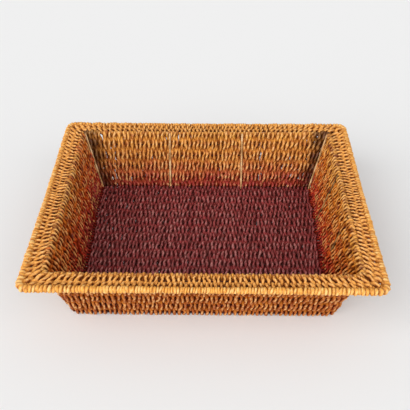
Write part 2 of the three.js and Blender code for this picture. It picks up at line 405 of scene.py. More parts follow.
@dataclass(frozen=True)
class Section:
    """The way of a cord through a side's section, from the floor's edge to the rolled edge.

    Attributes:
        skeleton: The lines of the wire frame.
        shown_face: 1 where the side's inner face shows, -1 where the outer one does.
        crown_size: The cord's thickness where it is over, as a share.
        cross_size: Its thickness where it crosses from one face to the other.
        under_size: Its thickness where it is under.
        edge_size: Its thickness round the outer ring.
        rim_size: Its thickness where it is over on the rim.
        crown_lift: Its distance from a cross wire.
        ring_lift: Its distance from the base ring's middle.
        band_lift: Its distance from the inner ring's middle.
        slack_share: The share of that for a cord that passes behind the ring.
        roll_lift: Its distance from the outer ring's middle.
        fold_reach: How far inside the base ring the wall's cords begin.
        tuck_reach: How far inside it those of the short walls do, under the floor.
        edge_reach: How far inside the outer ring the rolled edge begins.
        border: The row and the share of the lift where a wall's cord begins.
        low_crown: How far a cord stands out where it begins, and where it leaves the rim.
        fold_crown: How far it stands out over the base ring.
        wrap_row: How far apart the knots round the base ring are, in rows.
        wrap_start: The angle at which a cord comes to the ring from below.
        wrap_end: The angle at which it leaves it, from the wall's face.
        bend_row: How far apart the knots round the inner ring are, in rows.
        bend_span: How far they are turned, as a share of the bend.
        edge_row: The row of the rim where the rolled edge begins.
        edge_swing: How far a cord stands over or under there, as a share of its lift.
        edge_rise: How far all stand over there.
        roll_angles: The angles round the outer ring, in degrees: first, last and step.
        roll_rows: The row where the wrap round it begins, and how many it takes.
    """

    skeleton: Skeleton
    shown_face: float = 1.0
    crown_size: float = 0.96
    cross_size: float = 1.18
    under_size: float = 1.32
    edge_size: float = 0.98
    rim_size: float = 0.84
    crown_lift: float = 2.5 * MM
    ring_lift: float = 2.3 * MM
    band_lift: float = 2.1 * MM
    slack_share: float = 0.85
    roll_lift: float = 2.0 * MM
    fold_reach: float = 4.25 * MM
    tuck_reach: float = 9.0 * MM
    edge_reach: float = 4.25 * MM
    border: Pair = (-0.25, 0.62)
    low_crown: float = 0.4
    fold_crown: float = 0.3
    wrap_row: float = 0.15
    wrap_start: float = -math.pi * 0.47
    wrap_end: float = -math.pi * 1.03
    bend_row: float = 0.12
    bend_span: float = 1.1
    edge_row: float = 2.3
    edge_swing: float = 0.5
    edge_rise: float = 0.4
    roll_angles: tuple[float, float, float] = (148.0, -200.0, -34.0)
    roll_rows: Pair = (-0.2, 0.8)

    @property
    def wall_normal(self) -> float:
        """The angle of the wall's inner face in the section."""
        return math.pi - self.skeleton.lean

    def size(self, rise: Array | float, crown_size: float) -> Array | float:
        """A cord's thickness as a share: slim where it is over, and fullest where it is under."""
        slimmer, fuller = crown_size - self.cross_size, self.under_size - self.cross_size
        return self.cross_size + np.maximum(rise, 0.0) * slimmer + np.maximum(-rise, 0.0) * fuller

    def ways(self, is_inside: bool) -> list[Knot]:
        """The knots of a cord, from the floor's edge outwards.

        Args:
            is_inside: Whether the cord passes on the inner face at the base ring.

        Returns:
            The knots in order.
        """
        return [*self.fold(is_inside), *self.wall(is_inside), *self.bend(not is_inside),
                *self.rim(is_inside), *self.roll()]

    def fold(self, is_inside: bool) -> Iterator[Knot]:
        """The knots round the base ring, where the wall leaves the floor.

        Args:
            is_inside: Whether the cord passes on the inner face here.

        Yields:
            The knots.
        """
        base = (0.0, self.skeleton.base_z)
        face = 1.0 if is_inside else -1.0
        start = (-self.fold_reach, base[1] + face * self.ring_lift * self.border[1])
        yield Knot(self.border[0], Part.WALL, 0.0, start, UP, 0.0, crown=face * self.low_crown)
        if is_inside:
            heading = (UP + self.wall_normal) / 2
            yield Knot(0.0, Part.WALL, 0.0, base, heading, self.ring_lift, crown=self.fold_crown)
            return
        middle = (-UP + self.wall_normal - math.pi) / 2
        for step, heading in ((-self.wrap_row, self.wrap_start), (0.0, middle),
                              (self.wrap_row, self.wall_normal + self.wrap_end)):
            yield Knot(step, Part.WALL, 0.0, base, heading, self.ring_lift, self.crown_size, inner=-1.0)

    def wall(self, is_inside: bool) -> Iterator[Knot]:
        """The knots over and under the wall's cross wires.

        Args:
            is_inside: Whether the cord passes on the inner face at the base ring.

        Yields:
            The knots.
        """
        lean = self.skeleton.lean
        heading = UP - lean
        foot = np.array([0.0, self.skeleton.base_z])
        face = 1.0 if is_inside else -1.0
        for row, rise in weave_rows(WALL_ROWS):
            along = row * self.skeleton.wall_pitch
            depth = WIRE_DEPTH if 1 <= row <= WALL_ROWS - 1 else WIRE_DEPTH / 2
            centre = foot + along * ray(heading) + depth * ray(heading + UP)
            crown = face * rise
            yield Knot(row, Part.WALL, along * math.sin(lean), tuple(centre), self.wall_normal,
                       crown * self.crown_lift, self.size(crown * self.shown_face, self.crown_size), crown,
                       sway=math.sin(TURN * row), way=heading)

    def bend(self, is_inside: bool) -> Iterator[Knot]:
        """The knots round the inner rim ring, where the rim leaves the wall.

        Args:
            is_inside: Whether the cord passes before the ring.

        Yields:
            The knots.
        """
        ring = (self.skeleton.wall_run, self.skeleton.rim_z)
        lift = self.band_lift * (1.0 if is_inside else self.slack_share)
        middle = (self.wall_normal + UP) / 2
        spread = (self.wall_normal - UP) / 2
        for share, rise in zip((self.bend_span, 0.0, -self.bend_span), BEND_RISES[is_inside]):
            yield Knot(WALL_ROWS - share * self.bend_row, Part.WALL, ring[0], ring, middle + share * spread,
                       rise * lift, crown=rise)

    def rim(self, is_inside: bool) -> Iterator[Knot]:
        """The knots over and under the rim's cross wires, and the one where the rolled edge begins.

        Args:
            is_inside: Whether the cord passes over the rim's first wire.

        Yields:
            The knots.
        """
        run, height = self.skeleton.wall_run, self.skeleton.rim_z
        for step, rise in zip(RIM_STEPS, RIM_RISES[is_inside]):
            along = float(np.interp(step, range(RIM_WIRES + 1), (0.0, *self.skeleton.rim_wires)))
            centre = (run + along, height - WIRE_DEPTH * min(step, 1.0))
            yield Knot(WALL_ROWS + step, Part.RIM, centre[0], centre, UP, rise * self.crown_lift,
                       self.size(rise, self.rim_size), rise, sway=math.sin(TURN * step), way=0.0)
        edge = run + (self.skeleton.rim_reach - self.edge_reach)
        swing = self.edge_swing if is_inside else -self.edge_swing
        drop = -WIRE_DEPTH - (swing - self.edge_rise) * self.crown_lift
        yield Knot(WALL_ROWS + self.edge_row, Part.EDGE, edge, (edge, height + drop), UP, 0.0,
                   crown=self.low_crown)

    def roll(self) -> Iterator[Knot]:
        """The knots of the wrap round the outer ring.

        Yields:
            The knots.
        """
        ring = (self.skeleton.wall_run + self.skeleton.rim_reach, self.skeleton.rim_z)
        last = WALL_ROWS + RIM_WIRES + 1
        start, count = self.roll_rows
        angles = np.radians(np.arange(*self.roll_angles))
        for step, angle in enumerate(angles):
            share = step / (len(angles) - 1)
            yield Knot(last + share * count + start, Part.EDGE, ring[0], ring, float(angle), self.roll_lift,
                       self.edge_size, sway=share * 2 - 1)


@dataclass(frozen=True)
class Wander:
    """A smooth wander of the cords over a panel, made of waves.

    Attributes:
        size: How far it goes.
        reach: The length of its longest wave along the side.
        haste: How fast it changes from row to row.
        wall_draw: Chooses its waves on the walls.
        floor_draw: Chooses its waves on the floor.
        waves: How many waves there are.
        shorter: How much shorter each wave is than the one before.
        weaker: How much weaker it is.
        slope: How far it may run aslant.
        whole: The waves' height together.
    """

    size: float
    reach: float
    haste: float
    wall_draw: int
    floor_draw: int
    waves: int = 5
    shorter: float = 0.7
    weaker: float = 0.4
    slope: float = 1.1
    whole: float = 2.4

    def over(self, places: Array, rows: Array, seed: int, side: Side | None) -> Array:
        """The wander at some places of a panel.

        Args:
            places: Distances along the side.
            rows: Rows of the weave.
            seed: Chooses the waves, with the draws.
            side: The wall's side, or none for the floor.

        Returns:
            Distances from about -size to size.
        """
        draw = self.floor_draw if side is None else self.wall_draw + side.value
        rng = np.random.default_rng(seed + draw)
        total = np.zeros(len(places))
        for wave in range(self.waves):
            length = self.reach / (1.0 + wave * self.shorter)
            angle = rng.uniform(0, TURN, 2)[0]
            slope = rng.uniform(-self.slope, self.slope)
            phases = places * TURN / length + rows * self.haste * slope + angle
            total += np.sin(phases) / (1 + wave * self.weaker)
        return total / self.whole * self.size


@dataclass(frozen=True)
class Parting:
    """A place where the cords stand apart, so that the far side shows.

    Attributes:
        along: The distance from the side's middle, as a share of the side's half length.
        row: The row of the weave.
        shift: How far the nearest cords are pushed aside.
        rows: How many rows it reaches.
        width: How far along the side it reaches.
    """

    along: float
    row: float
    shift: float
    rows: float
    width: float = 6.0 * MM

    def push(self, along: Array, reach: Array, row: Array) -> Array:
        """How far a cord is pushed along the side.

        Args:
            along: The cord's distances from the side's middle.
            reach: The side's half length at each.
            row: The row of each.

        Returns:
            The distances by which it is pushed.
        """
        gap = along - self.along * reach
        fade = np.exp(-((gap / self.width) ** 2) - ((row - self.row) / self.rows) ** 2)
        return np.sign(gap) * self.shift * fade


BACK_PARTINGS = (
    Parting(-0.92, 4.6, 1.7 * MM, 0.4),
    Parting(-0.86, 4.6, 1.6 * MM, 0.4),
    Parting(-0.68, 4.6, 1.1 * MM, 0.3),
    Parting(-0.33, 4.6, 1.6 * MM, 0.35),
    Parting(-0.23, 4.6, 1.2 * MM, 0.3),
    Parting(0.3, 4.6, 1.4 * MM, 0.3),
    Parting(-0.84, 1.4, 1.5 * MM, 0.5),
    Parting(-0.57, 1.1, 1.3 * MM, 0.35),
    Parting(0.5, 1.1, 1.2 * MM, 0.3),
)


@dataclass
class Strand:
    """One cord from end to end.

    Attributes:
        number: The cord's number.
        track: A row for each of its points: the point in the tray's frame, the thickness as a share, the
            direction in which the cord stands out of the weave, as long as it does, and the direction out
            of the tray's inner face.
        parts: The part and side that the stretch after each point belongs to.
    """

    number: int
    track: Array
    parts: list[tuple[Part | None, Side | None]]

    @property
    def points(self) -> Array:
        """The cord's points."""
        return self.track[:, POINT]

    @property
    def crowns(self) -> Array:
        """The directions in which the cord stands out."""
        return self.track[:, CROWN]

    @property
    def runs(self) -> Array:
        """The distance along the cord at each point."""
        return np.concatenate([[0.0], np.cumsum(np.linalg.norm(np.diff(self.points, axis=0), axis=1))])

    def resampled(self, step: float) -> "Strand":
        """The cord drawn smoothly through its knots.

        Args:
            step: The distance between its new points, about.

        Returns:
            The smooth cord.
        """
        spans = np.diff(self.points, axis=0)
        gaps = np.linalg.norm(spans, axis=1)
        slopes = spans / gaps[:, None]
        tangents = np.vstack([slopes[:1], slopes])
        weights = (gaps[:-1] / (gaps[:-1] + gaps[1:]))[:, None]
        tangents[1:-1] = slopes[:-1] * (1 - weights) + slopes[1:] * weights
        rows, parts = [], []
        for i, gap in enumerate(gaps):
            count = max(1, round(gap / step))
            share = (np.arange(count) / count)[:, None]
            cubic, square = share ** 3, share ** 2
            points = ((2 * cubic - 3 * square + 1) * self.points[i]
                      + (cubic - 2 * square + share) * gap * tangents[i]
                      + (3 * square - 2 * cubic) * self.points[i + 1]
                      + (cubic - square) * gap * tangents[i + 1])
            ease = 3 * square - 2 * cubic
            carried = self.track[i, CARRIED] * (1 - ease) + self.track[i + 1, CARRIED] * ease
            rows.append(np.hstack([points, carried]))
            parts.extend([self.parts[i]] * count)
        return Strand(self.number, np.vstack([*rows, self.track[-1:]]), [*parts, self.parts[-1]])

    def piece(self, part: Part, side: Side | None) -> "Strand | None":
        """The stretch of the cord that belongs to one part, with the point where the next begins.

        Args:
            part: The part.
            side: Its side.

        Returns:
            The stretch, or none if the cord has none there.
        """
        held = [i for i, owner in enumerate(self.parts) if owner == (part, side)]
        if not held:
            return None
        stretch = slice(held[0], min(held[-1] + 2, len(self.track)))
        return Strand(self.number, self.track[stretch], self.parts[stretch])


@dataclass(frozen=True)
class Hand:
    """The weaver's hand: how regular the cords lie.

    Attributes:
        lean: How far a stitch leans along the side.
        edge_lean: How far the wraps of the rolled edge lean.
        wall_swing: The least share of the lean on the walls, and how much it swings.
        floor_swing: The same on the floor.
        cord_stray: How far a whole cord strays.
        stray: How far each of its knots strays.
        lift_stray: How far it strays in or out at a cross wire.
        slide_stray: How far a stitch strays along its cord.
        slide_limit: How far at most.
        rim_slide_share: The share of the slides on the rim.
        size_stray: How much the cords differ in thickness, as a share.
        lump: How much each differs along itself.
        fan_power: How strongly the cords fan out towards the corners.
        spread_share: How much of the fan the cords' thickness takes up.
        drift: The slow wander of the cords.
        jostle: Their quick wander.
        swing: How the lean changes.
        slide: How the stitches slide along their cords.
    """

    lean: float = 0.8 * MM
    edge_lean: float = 1.0 * MM
    wall_swing: Pair = (0.5, 1.5)
    floor_swing: Pair = (0.2, 1.6)
    cord_stray: float = 0.15 * MM
    stray: float = 0.16 * MM
    lift_stray: float = 0.25 * MM
    slide_stray: float = 1.4 * MM
    slide_limit: float = 1.8 * MM
    rim_slide_share: float = 0.35
    size_stray: float = 0.07
    lump: float = 0.07
    fan_power: float = 2.2
    spread_share: float = 0.9
    drift: Wander = Wander(1.0 * MM, 130.0 * MM, 1.0, wall_draw=0, floor_draw=40)
    jostle: Wander = Wander(0.6 * MM, 26.0 * MM, 1.7, wall_draw=90, floor_draw=42)
    swing: Wander = Wander(1.0, 45.0 * MM, 2.3, wall_draw=20, floor_draw=41)
    slide: Wander = Wander(1.6 * MM, 45.0 * MM, 3.0, wall_draw=60, floor_draw=80)


@dataclass
class Loom:
    """Lays every cord of the tray.

    Attributes:
        skeleton: The lines of the wire frame.
        hand: The weaver's hand.
        post_way: How the cords pass the posts.
        partings: The places on the back wall where the cords stand apart.
        cord_radius: The radius of a cord.
        long_count: The cords that run from front to back.
        short_count: The cords of each short side.
        step: The distance between a cord's points.
        floor_fill: How much thicker the cords are on the floor, as a share.
        seed: Chooses the random draws.
        sections: Each side's section.
        posts: Each side's posts.
        rng: Makes the random draws, always in the same order.
    """

    skeleton: Skeleton
    hand: Hand = Hand()
    post_way: PostWay = PostWay()
    partings: tuple[Parting, ...] = BACK_PARTINGS
    cord_radius: float = 2.0 * MM
    long_count: int = 112
    short_count: int = 88
    step: float = 2.0 * MM
    floor_fill: float = 1.09
    seed: int = 11
    sections: dict[Side, Section] = field(init=False)
    posts: dict[Side, tuple[Post, ...]] = field(init=False)
    rng: np.random.Generator = field(init=False)

    def __post_init__(self) -> None:
        """Prepares the sections, the posts and the random draws."""
        self.sections = {side: Section(self.skeleton, side.shown_face) for side in Side}
        self.posts = {side: Post.row(side) for side in Side}
        self.rng = np.random.default_rng(self.seed)

    def strands(self) -> list[Strand]:
        """Every cord of the tray, drawn smoothly.

        Returns:
            The cords, by number.
        """
        laid = [self.long_strand(number) for number in range(self.long_count)]
        for side in (Side.RIGHT, Side.LEFT):
            first = len(laid)
            laid += [self.short_strand(side, index, first + index) for index in range(self.short_count)]
        return [strand.resampled(self.step) for strand in laid]

    def half(self, side: Side, index: int, count: int, number: int) -> Strand:
        """One cord on one side, from the floor's edge to its end in the rolled edge.

        Args:
            side: The side.
            index: The cord's place along it.
            count: The cords along it.
            number: The cord's number.

        Returns:
            The cord, through its knots.
        """
        knots = self.sections[side].ways(index % 2 == 1)
        power = self.hand.fan_power
        share = (index + 0.5) * 2 / count - 1
        rows = np.array([knot.row for knot in knots])
        reaches = np.array([self.skeleton.reach(side, knot.line) for knot in knots])
        start = self.skeleton.reach(side, 0.0)
        along = share * start + math.copysign(abs(share) ** power, share) * (reaches - start)
        along = along + self.strays(side, along, rows, reaches, knots)
        is_crossing = np.array([knot.is_crossing for knot in knots])
        lifts = np.array([knot.lift for knot in knots])
        lifts = lifts + is_crossing * self.rng.normal(0, self.hand.lift_stray, len(knots))
        self.round_posts(side, knots, along, reaches, lifts)
        slides = self.slides(along, rows, side)
        slides *= [self.hand.rim_slide_share if knot.part is Part.RIM else 1.0 for knot in knots]
        placed = []
        for knot, place, lift, slide in zip(knots, along, lifts, slides):
            heading = ray(knot.heading)
            point = knot.slid(slide) + lift * heading
            placed.append(self.skeleton.placed(side, float(place), knot.line, point, heading))
        points, directions = (np.array(column) for column in zip(*placed))
        fanned = power * abs(share) ** (power - 1)
        spread = (1 + fanned * (reaches / start - 1)) ** self.hand.spread_share
        sizes = np.array([knot.size for knot in knots]) * spread * self.thickness(len(knots))
        crowns = directions * np.array([knot.crown for knot in knots])[:, None]
        inners = directions * np.array([knot.inner for knot in knots])[:, None]
        return Strand(number, np.column_stack([points, sizes, crowns, inners]),
                      [(knot.part, side) for knot in knots])

    def thickness(self, count: int) -> Array:
        """How thick a cord is at each of its knots, as a share."""
        whole = 1 + self.rng.normal(0, self.hand.size_stray)
        return whole * (1 + self.rng.normal(0, self.hand.lump, count))

    def slides(self, along: Array, rows: Array, side: Side | None) -> Array:
        """How far a cord's stitches slide along it, never past one another.

        Args:
            along: The stitches' distances along the side.
            rows: Their rows.
            side: The wall's side, or none for the floor.

        Returns:
            The slides.
        """
        hand = self.hand
        stray = np.clip(self.rng.normal(0, hand.slide_stray, len(rows)), -hand.slide_limit, hand.slide_limit)
        return hand.slide.over(along, rows, self.seed, side) + stray

    def drift(self, along: Array, rows: Array, side: Side | None) -> Array:
        """How far a cord drifts along a panel, slowly and quickly."""
        hand = self.hand
        return hand.drift.over(along, rows, self.seed, side) + hand.jostle.over(along, rows, self.seed, side)

    def stray(self, count: int) -> Array:
        """How far a cord strays by chance at each of its knots."""
        return self.rng.normal(0, self.hand.stray, count) + self.rng.normal(0, self.hand.cord_stray)

    def strays(self, side: Side, along: Array, rows: Array, reaches: Array, knots: list[Knot]) -> Array:
        """How far a cord moves along its side at each knot.

        Args:
            side: The side.
            along: The knots' distances from its middle.
            rows: Their rows.
            reaches: The side's half length at each.
            knots: The knots.

        Returns:
            The moves.
        """
        hand = self.hand
        is_edge = np.array([knot.part is Part.EDGE for knot in knots])
        lean = np.where(is_edge, hand.edge_lean, hand.lean * side.shown_face)
        least, swing = hand.wall_swing
        swings = least + swing * hand.swing.over(along, rows, self.seed, side)
        sway = np.array([knot.sway for knot in knots]) * lean * swings
        stray = self.stray(len(knots))
        stray[is_edge] = stray[is_edge][0]
        push = np.zeros(len(knots))
        for parting in self.partings if side is Side.BACK else ():
            push = push + parting.push(along, reaches, rows)
        return sway + self.drift(along, rows, side) + stray + push

    def round_posts(self, side: Side, knots: list[Knot], along: Array, reaches: Array, lifts: Array) -> None:
        """Takes a cord behind the posts of its wall, or over them where the weave covers them.

        Args:
            side: The wall's side.
            knots: The cord's knots.
            along: Their distances from the side's middle, which are changed.
            reaches: The side's half length at each.
            lifts: The cord's lift at each, which are changed.
        """
        way = self.post_way
        for i, knot in enumerate(knots):
            if knot.part is not Part.WALL or not way.rows[0] < knot.row < way.rows[1]:
                continue
            corners = (Post(reaches[i]), Post(-reaches[i]))
            nearest = min((*self.posts[side], *corners), key=lambda post: abs(along[i] - post.along))
            gap = along[i] - nearest.along
            is_bare = nearest.cover.is_bare(knot.row)
            lifts[i] = way.lift(gap, lifts[i], is_bare)
            if is_bare and nearest not in corners:
                along[i] += way.push(gap)

    def long_strand(self, number: int) -> Strand:
        """A cord that runs from the front rim down, over the floor and up to the back rim.

        Args:
            number: The cord's number.

        Returns:
            The cord, through its knots.
        """
        back = self.half(Side.BACK, number, self.long_count, number)
        front = self.half(Side.FRONT, self.long_count - 1 - number, self.long_count, number)
        floor = self.floor_run(number, front.points[0], back.points[0])
        parts = front.parts[::-1][1:] + floor.parts[:1] + floor.parts + back.parts
        return Strand(number, np.vstack([front.track[::-1], floor.track, back.track]), parts)

    def floor_run(self, number: int, front: Array, back: Array) -> Strand:
        """A cord's run over and under the floor's cross wires, left out beside the walls' own folds.

        Args:
            number: The cord's number.
            front: The point where it comes from the front wall.
            back: The point where it goes to the back wall.

        Returns:
            The run, through its knots.
        """
        hand, section = self.hand, self.sections[Side.BACK]
        rows, rises = np.array(list(weave_rows(FLOOR_ROWS))).T
        face = rises * (1.0 if number % 2 == 0 else -1.0)
        heights = face * (section.crown_lift + self.rng.normal(0, hand.lift_stray, len(rows)))
        x = front[0] + (back[0] - front[0]) * (rows / FLOOR_ROWS)
        fade = np.minimum(1, np.minimum(rows, FLOOR_ROWS - rows))
        least, swing = hand.floor_swing
        swings = least + swing * hand.swing.over(x, rows, self.seed, None)
        sway = np.sin(TURN * rows) * hand.lean * swings
        x = x + fade * (sway + self.drift(x, rows, None) + self.stray(len(rows)))
        y = rows * self.skeleton.floor_pitch - self.skeleton.half_y + self.slides(x, rows, None)
        z = self.skeleton.base_z + heights
        sizes = section.size(face, section.crown_size) * self.thickness(len(rows)) * self.floor_fill
        upwards = np.tile([0.0, 0.0, 1.0], (len(rows), 1))
        owner = (None if number in (0, self.long_count - 1) else Part.FLOOR, None)
        return Strand(number, np.column_stack([x, y, z, sizes, upwards * face[:, None], upwards]),
                      [owner] * len(rows))

    def short_strand(self, side: Side, index: int, number: int) -> Strand:
        """A cord of the left or right wall, tucked in under the floor's edge.

        Args:
            side: The wall's side.
            index: The cord's place along it.
            number: The cord's number.

        Returns:
            The cord, through its knots.
        """
        strand = self.half(side, index, self.short_count, number)
        strand.crowns[0] = -abs(strand.crowns[0])
        section = self.sections[side]
        tuck = strand.track[:1].copy()
        tuck[:, POINT] -= side.turned(np.array([0.0, 1.0, 0.0])) * (section.tuck_reach - section.fold_reach)
        tuck[0, 2] = self.skeleton.base_z - self.cord_radius
        return Strand(number, np.vstack([tuck, strand.track]), strand.parts[:1] + strand.parts)


class NodeSketch:
    """Adds nodes and links to a node tree."""

    def __init__(self, tree: bpy.types.NodeTree) -> None:
        """Starts on an existing tree."""
        self.tree = tree
        self.read: dict[str, bpy.types.Node] = {}

    def add(self, kind: str, inputs: dict | None = None, **settings: object) -> bpy.types.Node:
        """Adds one node.

        Args:
            kind: The node's type name.
            inputs: Values or sockets for its inputs, by name or index.
            settings: Properties of the node.

        Returns:
            The node.
        """
        node = self.tree.nodes.new(kind)
        for name, value in settings.items():
            setattr(node, name, value)
        for key, value in (inputs or {}).items():
            self.feed(node.inputs[key], value)
        return node

    def feed(self, socket: Socket, value: object) -> None:
        """Sets a socket's value, or links another socket to it.

        Args:
            socket: The socket.
            value: The value or the other socket.
        """
        if isinstance(value, Socket):
            self.tree.links.new(value, socket)
        else:
            socket.default_value = value

    def math(self, operation: str, *values: object) -> Socket:
        """A maths node's result."""
        return self.add("ShaderNodeMath", dict(enumerate(values)), operation=operation).outputs[0]

    def plus(self, first: object, second: object) -> Socket:
        """The sum of two values."""
        return self.math("ADD", first, second)

    def times(self, first: object, second: object) -> Socket:
        """The product of two values."""
        return self.math("MULTIPLY", first, second)

    def centred(self, value: object) -> Socket:
        """A value from 0 to 1, moved to lie about 0."""
        return self.math("SUBTRACT", value, 0.5)

    def vector_math(self, operation: str, *values: object) -> bpy.types.NodeOutputs:
        """A vector maths node's results."""
        return self.add("ShaderNodeVectorMath", dict(enumerate(values)), operation=operation).outputs

    def combined(self, x: object, y: object, z: object) -> Socket:
        """A vector of three values."""
        return self.add("ShaderNodeCombineXYZ", {0: x, 1: y, 2: z}).outputs[0]

    def mixed(self, share: object, first: object, second: object) -> Socket:
        """A colour between two others.

        Args:
            share: How much of the second one.
            first: The first colour.
            second: The second colour.

        Returns:
            The colour.
        """
        node = self.add("ShaderNodeMix", {"Factor": share}, data_type="RGBA")
        colours = [socket for socket in node.inputs if socket.type == "RGBA"]
        self.feed(colours[0], first)
        self.feed(colours[1], second)
        return next(socket for socket in node.outputs if socket.type == "RGBA")

    def stretched(self, value: object, low: float, high: float, to_low: float, to_high: float) -> Socket:
        """A value moved from one range to another and held there."""
        inputs = {"Value": value, "From Min": low, "From Max": high, "To Min": to_low, "To Max": to_high}
        return self.add("ShaderNodeMapRange", inputs, clamp=True).outputs["Result"]

    def ramp(self, value: object, stops: dict[float, str]) -> Socket:
        """A colour that changes with a value.

        Args:
            value: The value, from 0 to 1.
            stops: The colours, by the value at which each stands alone.

        Returns:
            The colour.
        """
        node = self.add("ShaderNodeValToRGB", {"Fac": value})
        elements = node.color_ramp.elements
        while len(elements) < len(stops):
            elements.new(0.5)
        for element, (position, colour) in zip(elements, stops.items()):
            element.position = position
            element.color = paint(colour)
        return node.outputs["Color"]

    def attribute(self, label: str, output: str = "Fac") -> Socket:
        """A material's reading of a cord's attribute, from one node however often it is read."""
        if label not in self.read:
            self.read[label] = self.add("ShaderNodeAttribute", attribute_name=label)
        return self.read[label].outputs[output]

    def place(self) -> Socket:
        """The place on the object, from one node too."""
        if "place" not in self.read:
            self.read["place"] = self.add("ShaderNodeTexCoord")
        return self.read["place"].outputs["Object"]

    def named(self, label: str, kind: str = "FLOAT") -> Socket:
        """A geometry's named attribute."""
        node = self.add("GeometryNodeInputNamedAttribute", {"Name": label}, data_type=kind)
        return node.outputs["Attribute"]

    def stored(self, geometry: Socket, label: str, value: Socket, kind: str = "FLOAT") -> Socket:
        """Stores a value on a geometry under a name.

        Args:
            geometry: The geometry.
            label: The name.
            value: The value.
            kind: The value's type.

        Returns:
            The geometry with it.
        """
        inputs = {"Geometry": geometry, "Name": label, "Value": value}
        node = self.add("GeometryNodeStoreNamedAttribute", inputs, data_type=kind, domain="POINT")
        return node.outputs["Geometry"]


@dataclass(frozen=True)
class CordSweep:
    """Geometry Nodes that turn guide lines into cords or rods.

    Attributes:
        name: The tree's name.
        unevenness: How much the thickness changes along a cord, as a share.
        bump_length: The length over which it changes.
        noise_gain: How far the noise that changes it is spread.
        lay: The length of one turn of the twist.
        ovalness: How much wider than round the two plies make the cord, as a share.
        flatness: How much lower they make it, as a share of that.
        starts: How many turns apart the cords' twists may begin.
    """

    name: str = "cord_sweep"
    unevenness: float = 0.09
    bump_length: float = 9.0 * MM
    noise_gain: float = 4.0
    lay: float = 24.0 * MM
    ovalness: float = 0.14
    flatness: float = 0.3
    starts: float = 2.0

    def tree(self) -> bpy.types.NodeTree:
        """Builds the tree, or finds it if it is there.

        Returns:
            The tree.
        """
        found = bpy.data.node_groups.get(self.name)
        if found:
            return found
        tree = bpy.data.node_groups.new(self.name, "GeometryNodeTree")
        tree.interface.new_socket("Geometry", in_out="INPUT", socket_type="NodeSocketGeometry")
        for label, kind in (("Cord Radius", "Float"), ("Cord Sides", "Int"), ("Unevenness", "Float"),
                            ("Lay", "Float"), ("Ovalness", "Float"), ("Seed", "Int"),
                            ("Cord Finish", "Material")):
            tree.interface.new_socket(label, in_out="INPUT", socket_type=f"NodeSocket{kind}")
        tree.interface.new_socket("Geometry", in_out="OUTPUT", socket_type="NodeSocketGeometry")
        sketch = NodeSketch(tree)
        given = sketch.add("NodeGroupInput").outputs
        guides = sketch.add("GeometryNodeMeshToCurve", {"Mesh": given["Geometry"]}).outputs["Curve"]
        guides = self.tinted(sketch, guides, given["Seed"])
        turns = sketch.math("DIVIDE", sketch.named(RUN_ATTRIBUTE), given["Lay"])
        start = sketch.times(sketch.named(TINT_ATTRIBUTE), self.starts * TURN)
        tilt = sketch.plus(sketch.times(turns, TURN), start)
        guides = sketch.add("GeometryNodeSetCurveTilt", {"Curve": guides, "Tilt": tilt}).outputs["Curve"]
        cords = sketch.add("GeometryNodeCurveToMesh", {
            "Curve": guides,
            "Profile Curve": self.profile(sketch, given),
            "Scale": self.thickness(sketch, given["Unevenness"]),
            "Fill Caps": True,
        }).outputs["Mesh"]
        smooth = sketch.add("GeometryNodeSetShadeSmooth", {"Geometry": self.faced(sketch, cords)})
        whole = sketch.add("GeometryNodeRealizeInstances", {"Geometry": smooth.outputs["Geometry"]})
        dressed = sketch.add("GeometryNodeSetMaterial", {
            "Geometry": whole.outputs["Geometry"], "Material": given["Cord Finish"],
        })
        sketch.add("NodeGroupOutput", {"Geometry": dressed.outputs["Geometry"]})
        return tree

    def tinted(self, sketch: NodeSketch, guides: Socket, seed: Socket) -> Socket:
        """Gives each cord its own random tint and tone.

        Args:
            sketch: The tree's nodes.
            guides: The guide lines.
            seed: Chooses the draws.

        Returns:
            The guide lines with both.
        """
        strand = sketch.named(STRAND_ATTRIBUTE, "INT")
        for step, label in enumerate((TINT_ATTRIBUTE, TONE_ATTRIBUTE)):
            draw = sketch.add("FunctionNodeRandomValue", {"ID": strand, "Seed": sketch.plus(seed, step)},
                              data_type="FLOAT")
            guides = sketch.stored(guides, label, draw.outputs[1])
        return guides

    def faced(self, sketch: NodeSketch, cords: Socket) -> Socket:
        """Keeps on the surface how much it stands out of the weave, and which face of the tray it is on.

        Args:
            sketch: The tree's nodes.
            cords: The cords.

        Returns:
            The cords with both.
        """
        normal = sketch.add("GeometryNodeInputNormal").outputs["Normal"]
        for source, label in ((CROWN_ATTRIBUTE, EXPOSED_ATTRIBUTE), (INNER_ATTRIBUTE, FACING_ATTRIBUTE)):
            share = sketch.vector_math("DOT_PRODUCT", normal, sketch.named(source, "FLOAT_VECTOR"))["Value"]
            cords = sketch.stored(cords, label, share)
        return cords

    def profile(self, sketch: NodeSketch, given: bpy.types.NodeOutputs) -> Socket:
        """The cord's oval section, with the direction from its middle kept on it.

        Args:
            sketch: The tree's nodes.
            given: The tree's inputs.

        Returns:
            The section.
        """
        circle = sketch.add("GeometryNodeCurvePrimitiveCircle", {
            "Resolution": given["Cord Sides"], "Radius": given["Cord Radius"],
        }, mode="RADIUS").outputs["Curve"]
        position = sketch.add("GeometryNodeInputPosition").outputs["Position"]
        marked = sketch.stored(circle, ROUND_ATTRIBUTE, sketch.vector_math("NORMALIZE", position)[0],
                               "FLOAT_VECTOR")
        low = sketch.math("SUBTRACT", 1.0, sketch.times(given["Ovalness"], self.flatness))
        scale = sketch.combined(sketch.plus(1.0, given["Ovalness"]), low, 1.0)
        return sketch.add("GeometryNodeTransform", {"Geometry": marked, "Scale": scale}).outputs["Geometry"]

